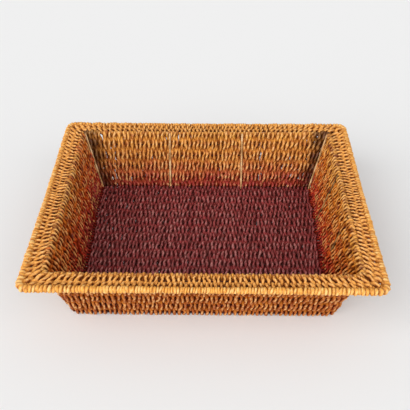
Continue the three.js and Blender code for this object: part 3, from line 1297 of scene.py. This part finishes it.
    def thickness(self, sketch: NodeSketch, unevenness: Socket) -> Socket:
        """The cord's thickness along its way.

        Args:
            sketch: The tree's nodes.
            unevenness: How much it changes.

        Returns:
            The thickness, as a share.
        """
        noise = sketch.add("ShaderNodeTexNoise", {"Scale": 1 / self.bump_length, "Detail": 1.0})
        swing = sketch.times(sketch.centred(noise.outputs["Fac"]), sketch.times(unevenness, self.noise_gain))
        return sketch.times(sketch.named(SIZE_ATTRIBUTE), sketch.plus(swing, 1.0))

    def swept(self, name: str, strands: list[Strand], radius: float, sides: int, finish: bpy.types.Material,
              seed: int) -> bpy.types.Object:
        """Sweeps strands into one piece.

        Args:
            name: The piece's name.
            strands: The guide lines.
            radius: The cord's radius.
            sides: The corners of its section.
            finish: Its material.
            seed: Chooses its tints.

        Returns:
            The piece, a plain mesh at the origin.
        """
        guides = bpy.data.objects.new(f"{name}_guides", guide_mesh(f"{name}_guides", strands))
        bpy.context.scene.collection.objects.link(guides)
        modifier = guides.modifiers.new("sweep", "NODES")
        modifier.node_group = self.tree()
        values = {"Cord Radius": radius, "Cord Sides": sides, "Unevenness": self.unevenness, "Lay": self.lay,
                  "Ovalness": self.ovalness, "Seed": seed, "Cord Finish": finish}
        for item in modifier.node_group.interface.items_tree:
            if item.in_out == "INPUT" and item.name in values:
                modifier[item.identifier] = values[item.name]
        graph = bpy.context.evaluated_depsgraph_get()
        mesh = bpy.data.meshes.new_from_object(guides.evaluated_get(graph), preserve_all_data_layers=True,
                                               depsgraph=graph)
        mesh.name = name
        bpy.data.objects.remove(guides)
        piece = bpy.data.objects.new(name, mesh)
        bpy.context.scene.collection.objects.link(piece)
        return piece


def guide_mesh(name: str, strands: list[Strand]) -> bpy.types.Mesh:
    """The guide lines of cords as the edges of one mesh, with what each point carries.

    Args:
        name: The mesh's name.
        strands: The cords.

    Returns:
        The mesh.
    """
    mesh = bpy.data.meshes.new(name)
    starts = np.cumsum([0] + [len(strand.track) for strand in strands])
    edges = [(start + i, start + i + 1) for start, strand in zip(starts, strands)
             for i in range(len(strand.track) - 1)]
    track = np.vstack([strand.track for strand in strands])
    mesh.from_pydata(track[:, POINT].tolist(), edges, [])
    carried = (
        (SIZE_ATTRIBUTE, "FLOAT", track[:, SIZE]),
        (CROWN_ATTRIBUTE, "FLOAT_VECTOR", track[:, CROWN]),
        (INNER_ATTRIBUTE, "FLOAT_VECTOR", track[:, INNER]),
        (RUN_ATTRIBUTE, "FLOAT", np.concatenate([strand.runs for strand in strands])),
        (STRAND_ATTRIBUTE, "INT", np.repeat([strand.number for strand in strands], np.diff(starts))),
    )
    for label, kind, values in carried:
        slot = "vector" if kind == "FLOAT_VECTOR" else "value"
        data = mesh.attributes.new(label, kind, "POINT").data
        data.foreach_set(slot, values.ravel().astype(np.int32 if kind == "INT" else np.float32))
    return mesh


@dataclass(frozen=True)
class Speckle:
    """A noise, and the span of its values over which it works.

    Attributes:
        scale: How fine it is.
        detail: How many finer noises it has.
        span: The values at which it begins and ends to work.
        roughness: How strong the finer noises are.
    """

    scale: float
    detail: float = 2.0
    span: Pair = (0.0, 1.0)
    roughness: float = 0.5

    def at(self, sketch: NodeSketch, place: Socket) -> Socket:
        """The noise at a place."""
        return sketch.add("ShaderNodeTexNoise", {"Vector": place, "Scale": self.scale, "Detail": self.detail,
                                                 "Roughness": self.roughness}).outputs["Fac"]

    def spread(self, sketch: NodeSketch, noise: Socket, low: float, high: float) -> Socket:
        """The noise's span stretched from one value to another."""
        return sketch.stretched(noise, *self.span, low, high)


@dataclass(frozen=True)
class Finish:
    """A finish with its own material.

    Attributes:
        name: The material's name.
    """

    name: str

    def material(self) -> bpy.types.Material:
        """Builds the material, or finds it if it is there.

        Returns:
            The material.
        """
        found = bpy.data.materials.get(self.name)
        if found:
            return found
        material = bpy.data.materials.new(self.name)
        material.use_nodes = True
        material.node_tree.nodes.clear()
        sketch = NodeSketch(material.node_tree)
        shader = sketch.add("ShaderNodeBsdfPrincipled", self.surface(sketch))
        sketch.add("ShaderNodeOutputMaterial", {"Surface": shader.outputs["BSDF"]})
        return material

    def surface(self, sketch: NodeSketch) -> dict[str, object]:
        """The shader's inputs, by name."""
        raise NotImplementedError


@dataclass(frozen=True)
class Dye:
    """A colour of the cord at a height above the table."""

    height: float
    colour: str


@dataclass(frozen=True)
class Stain:
    """A painted shade by the two ends of a wall, on its inner face.

    Attributes:
        strength: How much of the wall's own colour it takes away.
        reach: How far it reaches from the corner.
        full_share: The share of that over which it is at its full strength.
        stray: How far its edge strays.
        cloud: The noise that its edge follows.
        colour: Its colour.
    """

    strength: float
    reach: float = 32.0 * MM
    full_share: float = 0.35
    stray: float = 40.0 * MM
    cloud: Speckle = Speckle(0.06 / MM, 3.0)
    colour: str = "3c1404"

    def laid(self, sketch: NodeSketch, colour: Socket, inward: Socket) -> Socket:
        """Paints the shade by the corners onto a colour.

        Args:
            sketch: The material's nodes.
            colour: The colour without the stain.
            inward: How far the place is on the inner face, from 0 to 1.

        Returns:
            The colour with it.
        """
        skeleton = Skeleton.measured()
        slope = math.tan(skeleton.lean)
        along, _, height = sketch.add("ShaderNodeSeparateXYZ", {0: sketch.place()}).outputs
        half = sketch.plus(sketch.times(height, slope), skeleton.half_x - slope * skeleton.base_z)
        gap = sketch.math("SUBTRACT", half, sketch.math("ABSOLUTE", along))
        cloud = self.cloud.at(sketch, sketch.place())
        strayed = sketch.plus(gap, sketch.times(sketch.centred(cloud), self.stray))
        share = sketch.stretched(strayed, self.full_share * self.reach, self.reach, self.strength, 0.0)
        return sketch.mixed(sketch.times(share, inward), colour, paint(self.colour))


@dataclass(frozen=True)
class CordFinish(Finish):
    """Twisted seagrass cord, dyed.

    Attributes:
        inner: The dyes of the tray's inner face, from the table up.
        outer: The dye of its outer face.
        deep: The painted shade colour where a cord dips under its neighbours, also laid on its flanks and its
            darker stretches.
        rust: The darker dye that mottles the others.
        worn: The paler colour of the fibres that stand out, for their wear and for a painted highlight on the
            crests.
        blur: How far the heights of the dyes stray.
        cloud: The noise that they stray with.
        cloud_share: How much they stray with it, for each cord's own stray.
        tone_spread: How much the cords differ in lightness.
        groove: How dark the painted shade in the groove between the plies is.
        groove_power: How narrow it is.
        ply_span: How far from the groove the painted shade is darkest, and how far the ply's back is palest,
            with a painted highlight.
        back_share: How pale that painted highlight is, as a share of the groove's darkness.
        roughness: How dull the cord is.
        roughness_spread: How much duller and shinier its fibres are.
        roughness_span: The span of the fibres over which they are.
        relief: The depth of the grooves between its plies.
        relief_strength: How strongly they take the light.
        fibre_relief: How deep the fibres are beside the grooves.
        mottle: How much of the darker dye there is.
        spots: The noise that spreads it.
        patch: How much a cord's lightness changes along it.
        patch_length: The length over which it changes.
        patches: The noise that changes it.
        grain: How much the fibres differ in lightness.
        fibre_length: How long they are.
        fibres: The noise that makes them.
        fibre_turn: How fine they are round the cord.
        draws: How far apart the cords lie in the noises of the fibres and the patches.
        dip: How far the cord stands out where the painted shade of a dip is strongest, and where it first
            shows its own dye.
        dip_depth: How strong that painted shade is there.
        dim_span: The lightness at which a cord takes the painted shade colour in full, and at which it shows
            its own dye.
        flank: How strong the painted shade is on the cord's flanks, towards its neighbours.
        flank_span: How far the flanks face the weave's front where the painted shade is strongest, and where
            it ends.
        inner_span: How far a face is turned inwards where the inner dyes begin, and where they are whole.
        carry: How much of its own dye the painted shade colour keeps.
        highlight_and_wear: How pale the fibres that stand out are made, by wear and by a painted highlight.
        highlight_and_wear_span: How far the cord stands out where the wear and painted highlight begin, and
            where they are most.
        highlight_and_wear_light: The lightness at which the wear and painted highlight are most.
        shine: How strongly the cord's backs shine.
        least_shine: How strongly its dips do.
        shine_end: How far it stands out where it shines most.
        stain: The painted shade by the ends of the wall, if there is one.
    """

    inner: tuple[Dye, ...]
    outer: str
    deep: str
    rust: str
    worn: str
    blur: float = 12.0 * MM
    cloud: Speckle = Speckle(0.028 / MM)
    cloud_share: float = 2.4
    tone_spread: float = 0.3
    groove: float = 0.35
    groove_power: float = 0.8
    ply_span: Pair = (0.15, 0.95)
    back_share: float = 0.9
    roughness: float = 0.45
    roughness_spread: Pair = (-0.1, 0.12)
    roughness_span: Pair = (0.3, 0.7)
    relief: float = 0.6 * MM
    relief_strength: float = 0.9
    fibre_relief: float = 0.5
    mottle: float = 0.6
    spots: Speckle = Speckle(0.13 / MM, span=(0.42, 0.68))
    patch: float = 0.6
    patch_length: float = 7.0 * MM
    patches: Speckle = Speckle(1.6, span=(0.34, 0.66))
    grain: float = 0.4
    fibre_length: float = 10.0 * MM
    fibres: Speckle = Speckle(2.6, 3.0, (0.32, 0.68), 0.6)
    fibre_turn: float = 0.6
    draws: Pair = (97.0, 531.0)
    dip: Pair = (-0.6, 0.1)
    dip_depth: float = 0.9
    dim_span: Pair = (-1.3, -0.15)
    flank: float = 0.7
    flank_span: Pair = (0.68, 0.97)
    inner_span: Pair = (-0.3, 0.1)
    carry: float = 0.12
    highlight_and_wear: float = 0.75
    highlight_and_wear_span: Pair = (0.3, 0.9)
    highlight_and_wear_light: float = 0.7
    shine: float = 0.4
    least_shine: float = 0.05
    shine_end: float = 0.9
    stain: Stain | None = None

    def surface(self, sketch: NodeSketch) -> dict[str, object]:
        """The shader's inputs.

        Args:
            sketch: The material's nodes.

        Returns:
            The inputs, by name.
        """
        way = sketch.add("ShaderNodeSeparateXYZ", {0: sketch.attribute(ROUND_ATTRIBUTE, "Vector")})
        groove = sketch.math("POWER", sketch.math("ABSOLUTE", way.outputs["X"]), self.groove_power)
        fibres = self.fibres.at(sketch, self.fibre_place(sketch))
        facing = sketch.attribute(FACING_ATTRIBUTE)
        inward = sketch.stretched(facing, *self.inner_span, 0.0, 1.0)
        colour = self.shaded(sketch, self.dyed(sketch, inward), groove, fibres)
        # The back wall's painted shade by its corners.
        if self.stain:
            colour = self.stain.laid(sketch, colour, inward)
        height = sketch.plus(groove, sketch.times(fibres, self.fibre_relief))
        bump = sketch.add("ShaderNodeBump", {"Height": height, "Distance": self.relief,
                                             "Strength": self.relief_strength})
        low, high = (self.roughness + spread for spread in self.roughness_spread)
        return {
            "Base Color": colour,
            "Roughness": sketch.stretched(fibres, *self.roughness_span, low, high),
            "Normal": bump.outputs["Normal"],
            "Specular IOR Level": sketch.stretched(sketch.attribute(EXPOSED_ATTRIBUTE), 0.0, self.shine_end,
                                                   self.least_shine, self.shine),
        }

    def fibre_place(self, sketch: NodeSketch) -> Socket:
        """A place on the twisted cord, which turns with its plies.

        Args:
            sketch: The material's nodes.

        Returns:
            The place.
        """
        run = sketch.math("DIVIDE", sketch.attribute(RUN_ATTRIBUTE), self.fibre_length)
        start = sketch.times(sketch.attribute(TINT_ATTRIBUTE), self.draws[0])
        way = sketch.attribute(ROUND_ATTRIBUTE, "Vector")
        round_place = sketch.vector_math("MULTIPLY", way, (self.fibre_turn,) * 3)[0]
        return sketch.vector_math("ADD", round_place, sketch.combined(0.0, 0.0, sketch.plus(run, start)))[0]

    def dyed(self, sketch: NodeSketch, inward: Socket) -> Socket:
        """The dye by height on the inner face, and the outer face's own.

        Args:
            sketch: The material's nodes.
            inward: How far the place is on the inner face, from 0 to 1.

        Returns:
            The dye.
        """
        place = sketch.place()
        height = sketch.add("ShaderNodeSeparateXYZ", {0: place}).outputs["Z"]
        cloud = sketch.times(sketch.centred(self.cloud.at(sketch, place)), self.cloud_share)
        stray = sketch.plus(sketch.centred(sketch.attribute(TINT_ATTRIBUTE)), cloud)
        strayed = sketch.plus(height, sketch.times(stray, self.blur))
        top = self.inner[-1].height
        stops = {dye.height / top: dye.colour for dye in self.inner}
        ramp = sketch.ramp(sketch.math("DIVIDE", strayed, top), stops)
        dye = sketch.mixed(inward, paint(self.outer), ramp)
        rusty = self.spots.spread(sketch, self.spots.at(sketch, place), 0.0, self.mottle)
        return sketch.mixed(rusty, dye, paint(self.rust))

    def shaded(self, sketch: NodeSketch, colour: Socket, groove: Socket, fibres: Socket) -> Socket:
        """Paints shade into the grooves, dips and flanks and highlights on the ply backs and crests, with the
        wear, and varies the cords and their fibres.

        Args:
            sketch: The material's nodes.
            colour: The dye.
            groove: How far the place is from a groove, from 0 to 1.
            fibres: The noise of the fibres.

        Returns:
            The colour.
        """
        exposed = sketch.attribute(EXPOSED_ATTRIBUTE)
        place = sketch.combined(0.0, sketch.times(sketch.attribute(TINT_ATTRIBUTE), self.draws[1]),
                                sketch.math("DIVIDE", sketch.attribute(RUN_ATTRIBUTE), self.patch_length))
        patch = self.patches.spread(sketch, self.patches.at(sketch, place), -self.patch, self.patch)
        spread = self.tone_spread
        tone = sketch.stretched(sketch.attribute(TONE_ATTRIBUTE), 0.0, 1.0, -spread, spread)
        grain = self.fibres.spread(sketch, fibres, -self.grain, self.grain)
        # Painted shade in the groove between the plies, and a painted highlight on the ply's back.
        ply = sketch.stretched(groove, *self.ply_span, -self.groove, self.groove * self.back_share)
        light = sketch.plus(sketch.plus(tone, patch), sketch.plus(grain, ply))
        # Painted shade: the deep colour on the darker stretches of the cord, in its dips under its neighbours
        # and on its flanks towards them.
        dim = sketch.stretched(light, *self.dim_span, 1.0, 0.0)
        dip = sketch.stretched(exposed, *self.dip, self.dip_depth, 0.0)
        facing = sketch.math("ABSOLUTE", sketch.attribute(FACING_ATTRIBUTE))
        flank = sketch.stretched(facing, *self.flank_span, self.flank, 0.0)
        deep = sketch.mixed(self.carry, paint(self.deep), colour)
        sunk = sketch.mixed(sketch.math("MAXIMUM", sketch.math("MAXIMUM", dim, dip), flank), colour, deep)
        # Paler worn fibres and a painted highlight on the crests that stand out.
        highlight_and_wear = sketch.times(sketch.stretched(exposed, *self.highlight_and_wear_span, 0.0, 1.0),
                           sketch.stretched(light, 0.0, self.highlight_and_wear_light, 0.0, self.highlight_and_wear))
        return sketch.mixed(highlight_and_wear, sunk, paint(self.worn))


@dataclass(frozen=True)
class RodFinish(Finish):
    """Bare iron wire, lacquered and worn.

    Attributes:
        lacquer: The lacquer's colour.
        worn: Its colour where it is worn.
        shade: Its colour where it is thickest.
        roughness: How dull it is.
        dullness: How much duller it is where it is thickest.
        spots: The noise of its wear.
        spot_span: The span of that over which its dullness changes.
        pits: The noise of its pits.
        relief: How deep they are.
        relief_strength: How strongly they take the light.
    """

    lacquer: str = "d8a870"
    worn: str = "f6d09c"
    shade: str = "a87c48"
    roughness: float = 0.5
    dullness: float = 0.2
    spots: Speckle = Speckle(0.09 / MM, 4.0, (0.36, 0.66))
    spot_span: Pair = (0.35, 0.65)
    pits: Speckle = Speckle(0.7 / MM)
    relief: float = 0.15 * MM
    relief_strength: float = 0.5

    def surface(self, sketch: NodeSketch) -> dict[str, object]:
        """The shader's inputs.

        Args:
            sketch: The material's nodes.

        Returns:
            The inputs, by name.
        """
        spots = self.spots.at(sketch, sketch.place())
        low, high = self.spots.span
        bump = sketch.add("ShaderNodeBump", {"Height": self.pits.at(sketch, sketch.place()),
                                             "Distance": self.relief, "Strength": self.relief_strength})
        return {
            "Base Color": sketch.ramp(spots, {low: self.shade, 0.5: self.lacquer, high: self.worn}),
            "Roughness": sketch.stretched(spots, *self.spot_span, self.roughness + self.dullness,
                                          self.roughness),
            "Normal": bump.outputs["Normal"],
        }


DYE_HEIGHTS = (0.0, 14.0 * MM, 32.0 * MM, 52.0 * MM, 82.0 * MM, 91.0 * MM)


def wall_finish(side: Side, colours: tuple[str, ...], drop: float) -> CordFinish:
    """A wall's finish, from its dyes at the heights where one gives way to the next.

    Args:
        side: The wall.
        colours: The dyes, from the table up.
        drop: How much lower the middle ones stand.

    Returns:
        The finish.
    """
    last = len(colours) - 1
    dyes = tuple(Dye(height - drop * (0 < i < last), colour)
                 for i, (height, colour) in enumerate(zip(DYE_HEIGHTS, colours)))
    name = f"seagrass_ombre_{side.label}"
    # After the outer dye come the painted shade colour, the rust, and the worn colour that also paints the
    # highlights; the back wall also gets painted shade by its corners.
    if side is Side.BACK:
        return CordFinish(name, dyes, "d27e2a", "741c00", "a84822", "ffc880", carry=0.2, stain=Stain(0.85))
    if side is Side.FRONT:
        return CordFinish(name, dyes, "d27e2a", "741c00", "a84822", "ffc880", carry=0.1)
    return CordFinish(name, dyes, "dc8c38", "580600", "782c0c", "ffc070", blur=20.0 * MM, mottle=0.75,
                      dip=(-0.5, 0.3), flank=0.9, flank_span=(0.5, 0.95), tone_spread=0.75, patch=0.9,
                      patch_length=10.0 * MM)


WALL_FINISHES = {
    side: wall_finish(side, colours, drop)
    for side, colours, drop in (
        (Side.BACK, ("a83c40", "c44c44", "f08a50", "fcac50", "ffb450", "ffb850"), 0.0),
        (Side.RIGHT, ("b0363a", "d43c30", "f05428", "f87c28", "fc9c30", "ffb44c"), 8.0 * MM),
        (Side.FRONT, ("a83438", "c03c34", "e8642c", "ec902c", "f4a840", "ffb44c"), 0.0),
        (Side.LEFT, ("983034", "bc3830", "e44420", "f06c20", "f88c2c", "ffb44c"), -4.0 * MM),
    )
}
# Here too: outer dye, painted shade colour, rust, and the worn colour that also paints the highlights.
FLOOR_FINISH = CordFinish(
    "seagrass_burgundy", (Dye(0.0, "a44040"), Dye(MM, "a84242")), "b06030", "380806", "60443c", "c6827c",
    blur=0.0, shine=0.5, patch=0.65, patch_length=11.0 * MM, grain=0.5, dip=(-0.9, -0.1), dip_depth=0.7,
)
RIM_FINISH = CordFinish(
    "seagrass_gold", (Dye(0.0, "f6ac50"), Dye(MM, "faae52")), "eaa048", "6a1202", "b46c2a", "ffca84",
    blur=0.0, tone_spread=0.15, patch=0.5, mottle=0.35, dip=(-0.5, 0.2), flank=0.9, flank_span=(0.35, 0.8),
    carry=0.1,
)
EDGE_FINISH = CordFinish(
    "seagrass_bright_gold", (Dye(0.0, "fab048"), Dye(MM, "fcb24a")), "eea84c", "8a3004", "c07a2c", "ffd488",
    blur=0.0, tone_spread=0.15, patch=0.4, mottle=0.35,
)
# Two copies of the frame's one finish: a lit pale one, and a brown one painted in shade for the rods that
# stand in shade.
LIT_ROD_FINISH = RodFinish("lit_wire")
SHADED_ROD_FINISH = RodFinish("shaded_wire", "6c4418", "b08850", "3c2008")
# The rings and wires inside the weave are painted dark with the shade that they stand in.
HIDDEN_ROD_FINISH = RodFinish("shaded_inner_wire", "3c0c04", "5a1c0c", "200402", 0.6)


@dataclass
class Weave:
    """The whole weave: floor, walls, rim and rolled edge, each cord by itself.

    Attributes:
        loom: Lays the cords.
        sweep: Sweeps them.
        cord_sides: The corners of a cord's section.
        strands: The cords, once they are laid.
    """

    loom: Loom
    sweep: CordSweep
    cord_sides: int = 10
    strands: list[Strand] = field(default_factory=list)

    def build(self) -> None:
        """Lays the cords and makes a piece of each part of each side."""
        self.strands = self.loom.strands()
        count = self.loom.long_count
        for label, numbers in (("left", range(count // 2)), ("right", range(count // 2, count))):
            self.part(Part.FLOOR, None, f"floor_cords_{label}", "floor_weave", "floor_weave", FLOOR_FINISH,
                      numbers)
        for side in Side:
            for part, name, slot, finish in (
                (Part.WALL, "wall_cords", "wall_weave", WALL_FINISHES[side]),
                (Part.RIM, "rim_cords", "rim_weave", RIM_FINISH),
                (Part.EDGE, "edge_cords", "rim_binding", EDGE_FINISH),
            ):
                self.part(part, side, f"{name}_{side.label}", f"{slot}_{side.label}", slot, finish)

    def part(self, part: Part, side: Side | None, name: str, node: str, slot: str, finish: CordFinish,
             numbers: range | None = None) -> None:
        """Sweeps one part of the weave and sets it in the place of its node.

        Args:
            part: The part of the weave.
            side: The part's side, or none for the floor.
            name: The piece's name.
            node: The node that it replaces.
            slot: Its material slot; not used.
            finish: Its finish.
            numbers: The numbers of its cords, or none for all.
        """
        chosen = (strand for strand in self.strands if numbers is None or strand.number in numbers)
        held = [stretch for stretch in (strand.piece(part, side) for strand in chosen) if stretch]
        piece = self.sweep.swept(name, held, self.loom.cord_radius, self.cord_sides, finish.material(),
                                 self.loom.seed)
        press_flat(piece.data)
        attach(piece, "root")
        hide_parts(node)
        LOG.info("%s: %d cords, %d faces", name, len(held), len(piece.data.polygons))


def press_flat(mesh: bpy.types.Mesh) -> None:
    """Presses what reaches below the table flat on it.

    Args:
        mesh: The mesh.
    """
    points = np.empty(len(mesh.vertices) * 3, np.float32)
    mesh.vertices.foreach_get("co", points)
    points[2::3] = np.maximum(points[2::3], 0.0)
    mesh.vertices.foreach_set("co", points)
    mesh.update()


@dataclass
class WireFrame:
    """The rods and wires: round posts and spokes, and the rings and cross wires inside the weave.

    Attributes:
        sweep: Sweeps the rods.
        pale: The posts that show pale, in the lit copy of the wire's finish; the other posts get its painted
            shaded copy.
        rod_sides: The corners of a rod's section.
        rod_steps: How many points a rod has.
        seed: Chooses their tints.
    """

    sweep: CordSweep
    pale: tuple[str, ...] = ("post_back_left", "post_back_right", "post_corner_back_left",
                             "post_corner_back_right")
    rod_sides: int = 14
    rod_steps: int = 9
    seed: int = 3

    def build(self) -> None:
        """Makes the rods that show, lit or in painted shade, and dresses what the weave hides in painted
        shade.
        """
        names = sorted(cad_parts)
        # The other posts and the spokes get the painted shaded copy of the wire's finish.
        dull = [name for name in names if name.startswith("post_") and name not in self.pale]
        self.rods("lit_posts", sorted(self.pale), LIT_ROD_FINISH)
        self.rods("shaded_posts", dull, SHADED_ROD_FINISH)
        self.rods("rim_spokes", [name for name in names if name.startswith("spoke_")], SHADED_ROD_FINISH)
        # The rings and cross wires inside the weave get painted shade.
        for name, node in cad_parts.items():
            if "ring" in name or "wire" in name:
                for slot in node.material_slots:
                    slot.material = HIDDEN_ROD_FINISH.material()

    def rods(self, name: str, nodes: list[str], finish: RodFinish) -> None:
        """Rounds the rods of some nodes, where they stand.

        Args:
            name: The piece's name.
            nodes: The nodes that it replaces.
            finish: Its finish.
        """
        strands = []
        still = np.zeros((self.rod_steps, 3))
        for number, node in enumerate(nodes):
            points = np.linspace(*self.ends(node), self.rod_steps)
            track = np.column_stack([points, np.ones(self.rod_steps), still, still])
            strands.append(Strand(number, track, []))
        piece = self.sweep.swept(name, strands, ROD_RADIUS, self.rod_sides, finish.material(), self.seed)
        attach(piece, "root")
        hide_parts(*nodes)
        LOG.info("%s: %d rods", name, len(nodes))

    @staticmethod
    def ends(node: str) -> tuple[Array, Array]:
        """The middles of a straight rod's two ends.

        Args:
            node: The rod's node.

        Returns:
            The two points.
        """
        points = np.array([vertex.co[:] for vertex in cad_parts[node].data.vertices])
        middle = (points.max(axis=0) + points.min(axis=0)) / 2
        axis = np.linalg.svd(points - middle, full_matrices=False)[2][0]
        side = (points - middle) @ axis
        return points[side < 0].mean(axis=0), points[side > 0].mean(axis=0)


@dataclass(frozen=True)
class Lamp:
    """A soft lamp that lights everything evenly.

    Attributes:
        name: Its name.
        place: The side that its light comes from.
        power: How strong it is.
        spread: How soft it is, as an angle.
    """

    name: str
    place: tuple[float, float, float]
    power: float
    spread: float = math.radians(60.0)

    def hang(self) -> None:
        """Hangs the lamp."""
        lamp = bpy.data.lights.new(self.name, "SUN")
        lamp.angle = self.spread
        lamp.energy = self.power
        holder = bpy.data.objects.new(self.name, lamp)
        holder.location = self.place
        holder.rotation_euler = (-Vector(self.place)).to_track_quat("-Z", "Y").to_euler()
        bpy.context.scene.collection.objects.link(holder)


@dataclass(frozen=True)
class Studio:
    """The pale table, the soft lamps and the camera.

    Attributes:
        eye: Where the camera stands.
        pitch: How far it looks down.
        yaw: How far it is turned aside.
        roll: How far it is tilted.
        lens: Its focal length, in millimetres.
        sensor: Its sensor's width, in millimetres.
        clip: The nearest and the farthest that it sees.
        lamps: The lamps.
        world_strength: How strong the room's even light is.
        table_colour: The table's colour.
        table_roughness: How dull it is.
        table_glow: How strongly it glows by itself.
        table_half: Half its width.
        table_drop: How far it lies below the tray.
    """

    eye: tuple[float, float, float] = (11.024 * MM, -789.473 * MM, 681.459 * MM)
    pitch: float = math.radians(37.56)
    yaw: float = math.radians(-0.76)
    roll: float = math.radians(0.05)
    lens: float = 61.46
    sensor: float = 36.0
    clip: Pair = (0.01, 50.0)
    lamps: tuple[Lamp, ...] = (Lamp("window", (-1.0, -0.85, 0.75), 2.3), Lamp("fill", (0.8, -0.9, 0.7), 1.0))
    world_strength: float = 0.5
    table_colour: str = "d3d3d3"
    table_roughness: float = 0.9
    table_glow: float = 0.2
    table_half: float = 6.0
    table_drop: float = 0.2 * MM

    def build(self) -> None:
        """Sets up everything round the tray."""
        self.table()
        for lamp in self.lamps:
            lamp.hang()
        self.world()
        self.camera()
        bpy.context.scene.view_settings.view_transform = "Standard"

    def table(self) -> None:
        """Lays the table under the tray."""
        half, height = self.table_half, -self.table_drop
        corners = [(-half, -half, height), (half, -half, height), (half, half, height), (-half, half, height)]
        mesh = bpy.data.meshes.new("table")
        mesh.from_pydata(corners, [], [(0, 1, 2, 3)])
        table = bpy.data.objects.new("table", mesh)
        bpy.context.scene.collection.objects.link(table)
        material = bpy.data.materials.new("table_white")
        material.use_nodes = True
        inputs = material.node_tree.nodes["Principled BSDF"].inputs
        inputs["Base Color"].default_value = paint(self.table_colour)
        inputs["Roughness"].default_value = self.table_roughness
        inputs["Emission Color"].default_value = paint("ffffff")
        inputs["Emission Strength"].default_value = self.table_glow
        mesh.materials.append(material)

    def world(self) -> None:
        """Fills the room with even light."""
        world = bpy.data.worlds.new("room")
        world.use_nodes = True
        background = world.node_tree.nodes["Background"]
        background.inputs["Color"].default_value = paint("ffffff")
        background.inputs["Strength"].default_value = self.world_strength
        bpy.context.scene.world = world

    def camera(self) -> None:
        """Sets the camera where the photograph's stood."""
        sine, cosine = math.sin(self.pitch), math.cos(self.pitch)
        look = np.array([[1, 0, 0], [0, sine, cosine], [0, cosine, -sine]])
        yaw, roll = (np.array(Matrix.Rotation(angle, 3, "Z")) for angle in (self.yaw, self.roll))
        right, up, ahead = roll @ look @ yaw
        data = bpy.data.cameras.new("camera")
        data.sensor_width = self.sensor
        data.lens = self.lens
        data.clip_start, data.clip_end = self.clip
        camera = bpy.data.objects.new("camera", data)
        matrix = np.eye(4)
        matrix[:3] = np.column_stack([right, up, -ahead, self.eye])
        camera.matrix_world = Matrix(matrix.tolist())
        bpy.context.scene.collection.objects.link(camera)
        bpy.context.scene.camera = camera


def main() -> None:
    """Builds the tray's looks and its studio."""
    logging.basicConfig(level=logging.INFO)
    Weave(Loom(Skeleton.measured()), CordSweep()).build()
    WireFrame(CordSweep("rod_sweep", unevenness=0.0, lay=1000.0, ovalness=0.0)).build()
    Studio().build()


if __name__ == "__main__":
    main()
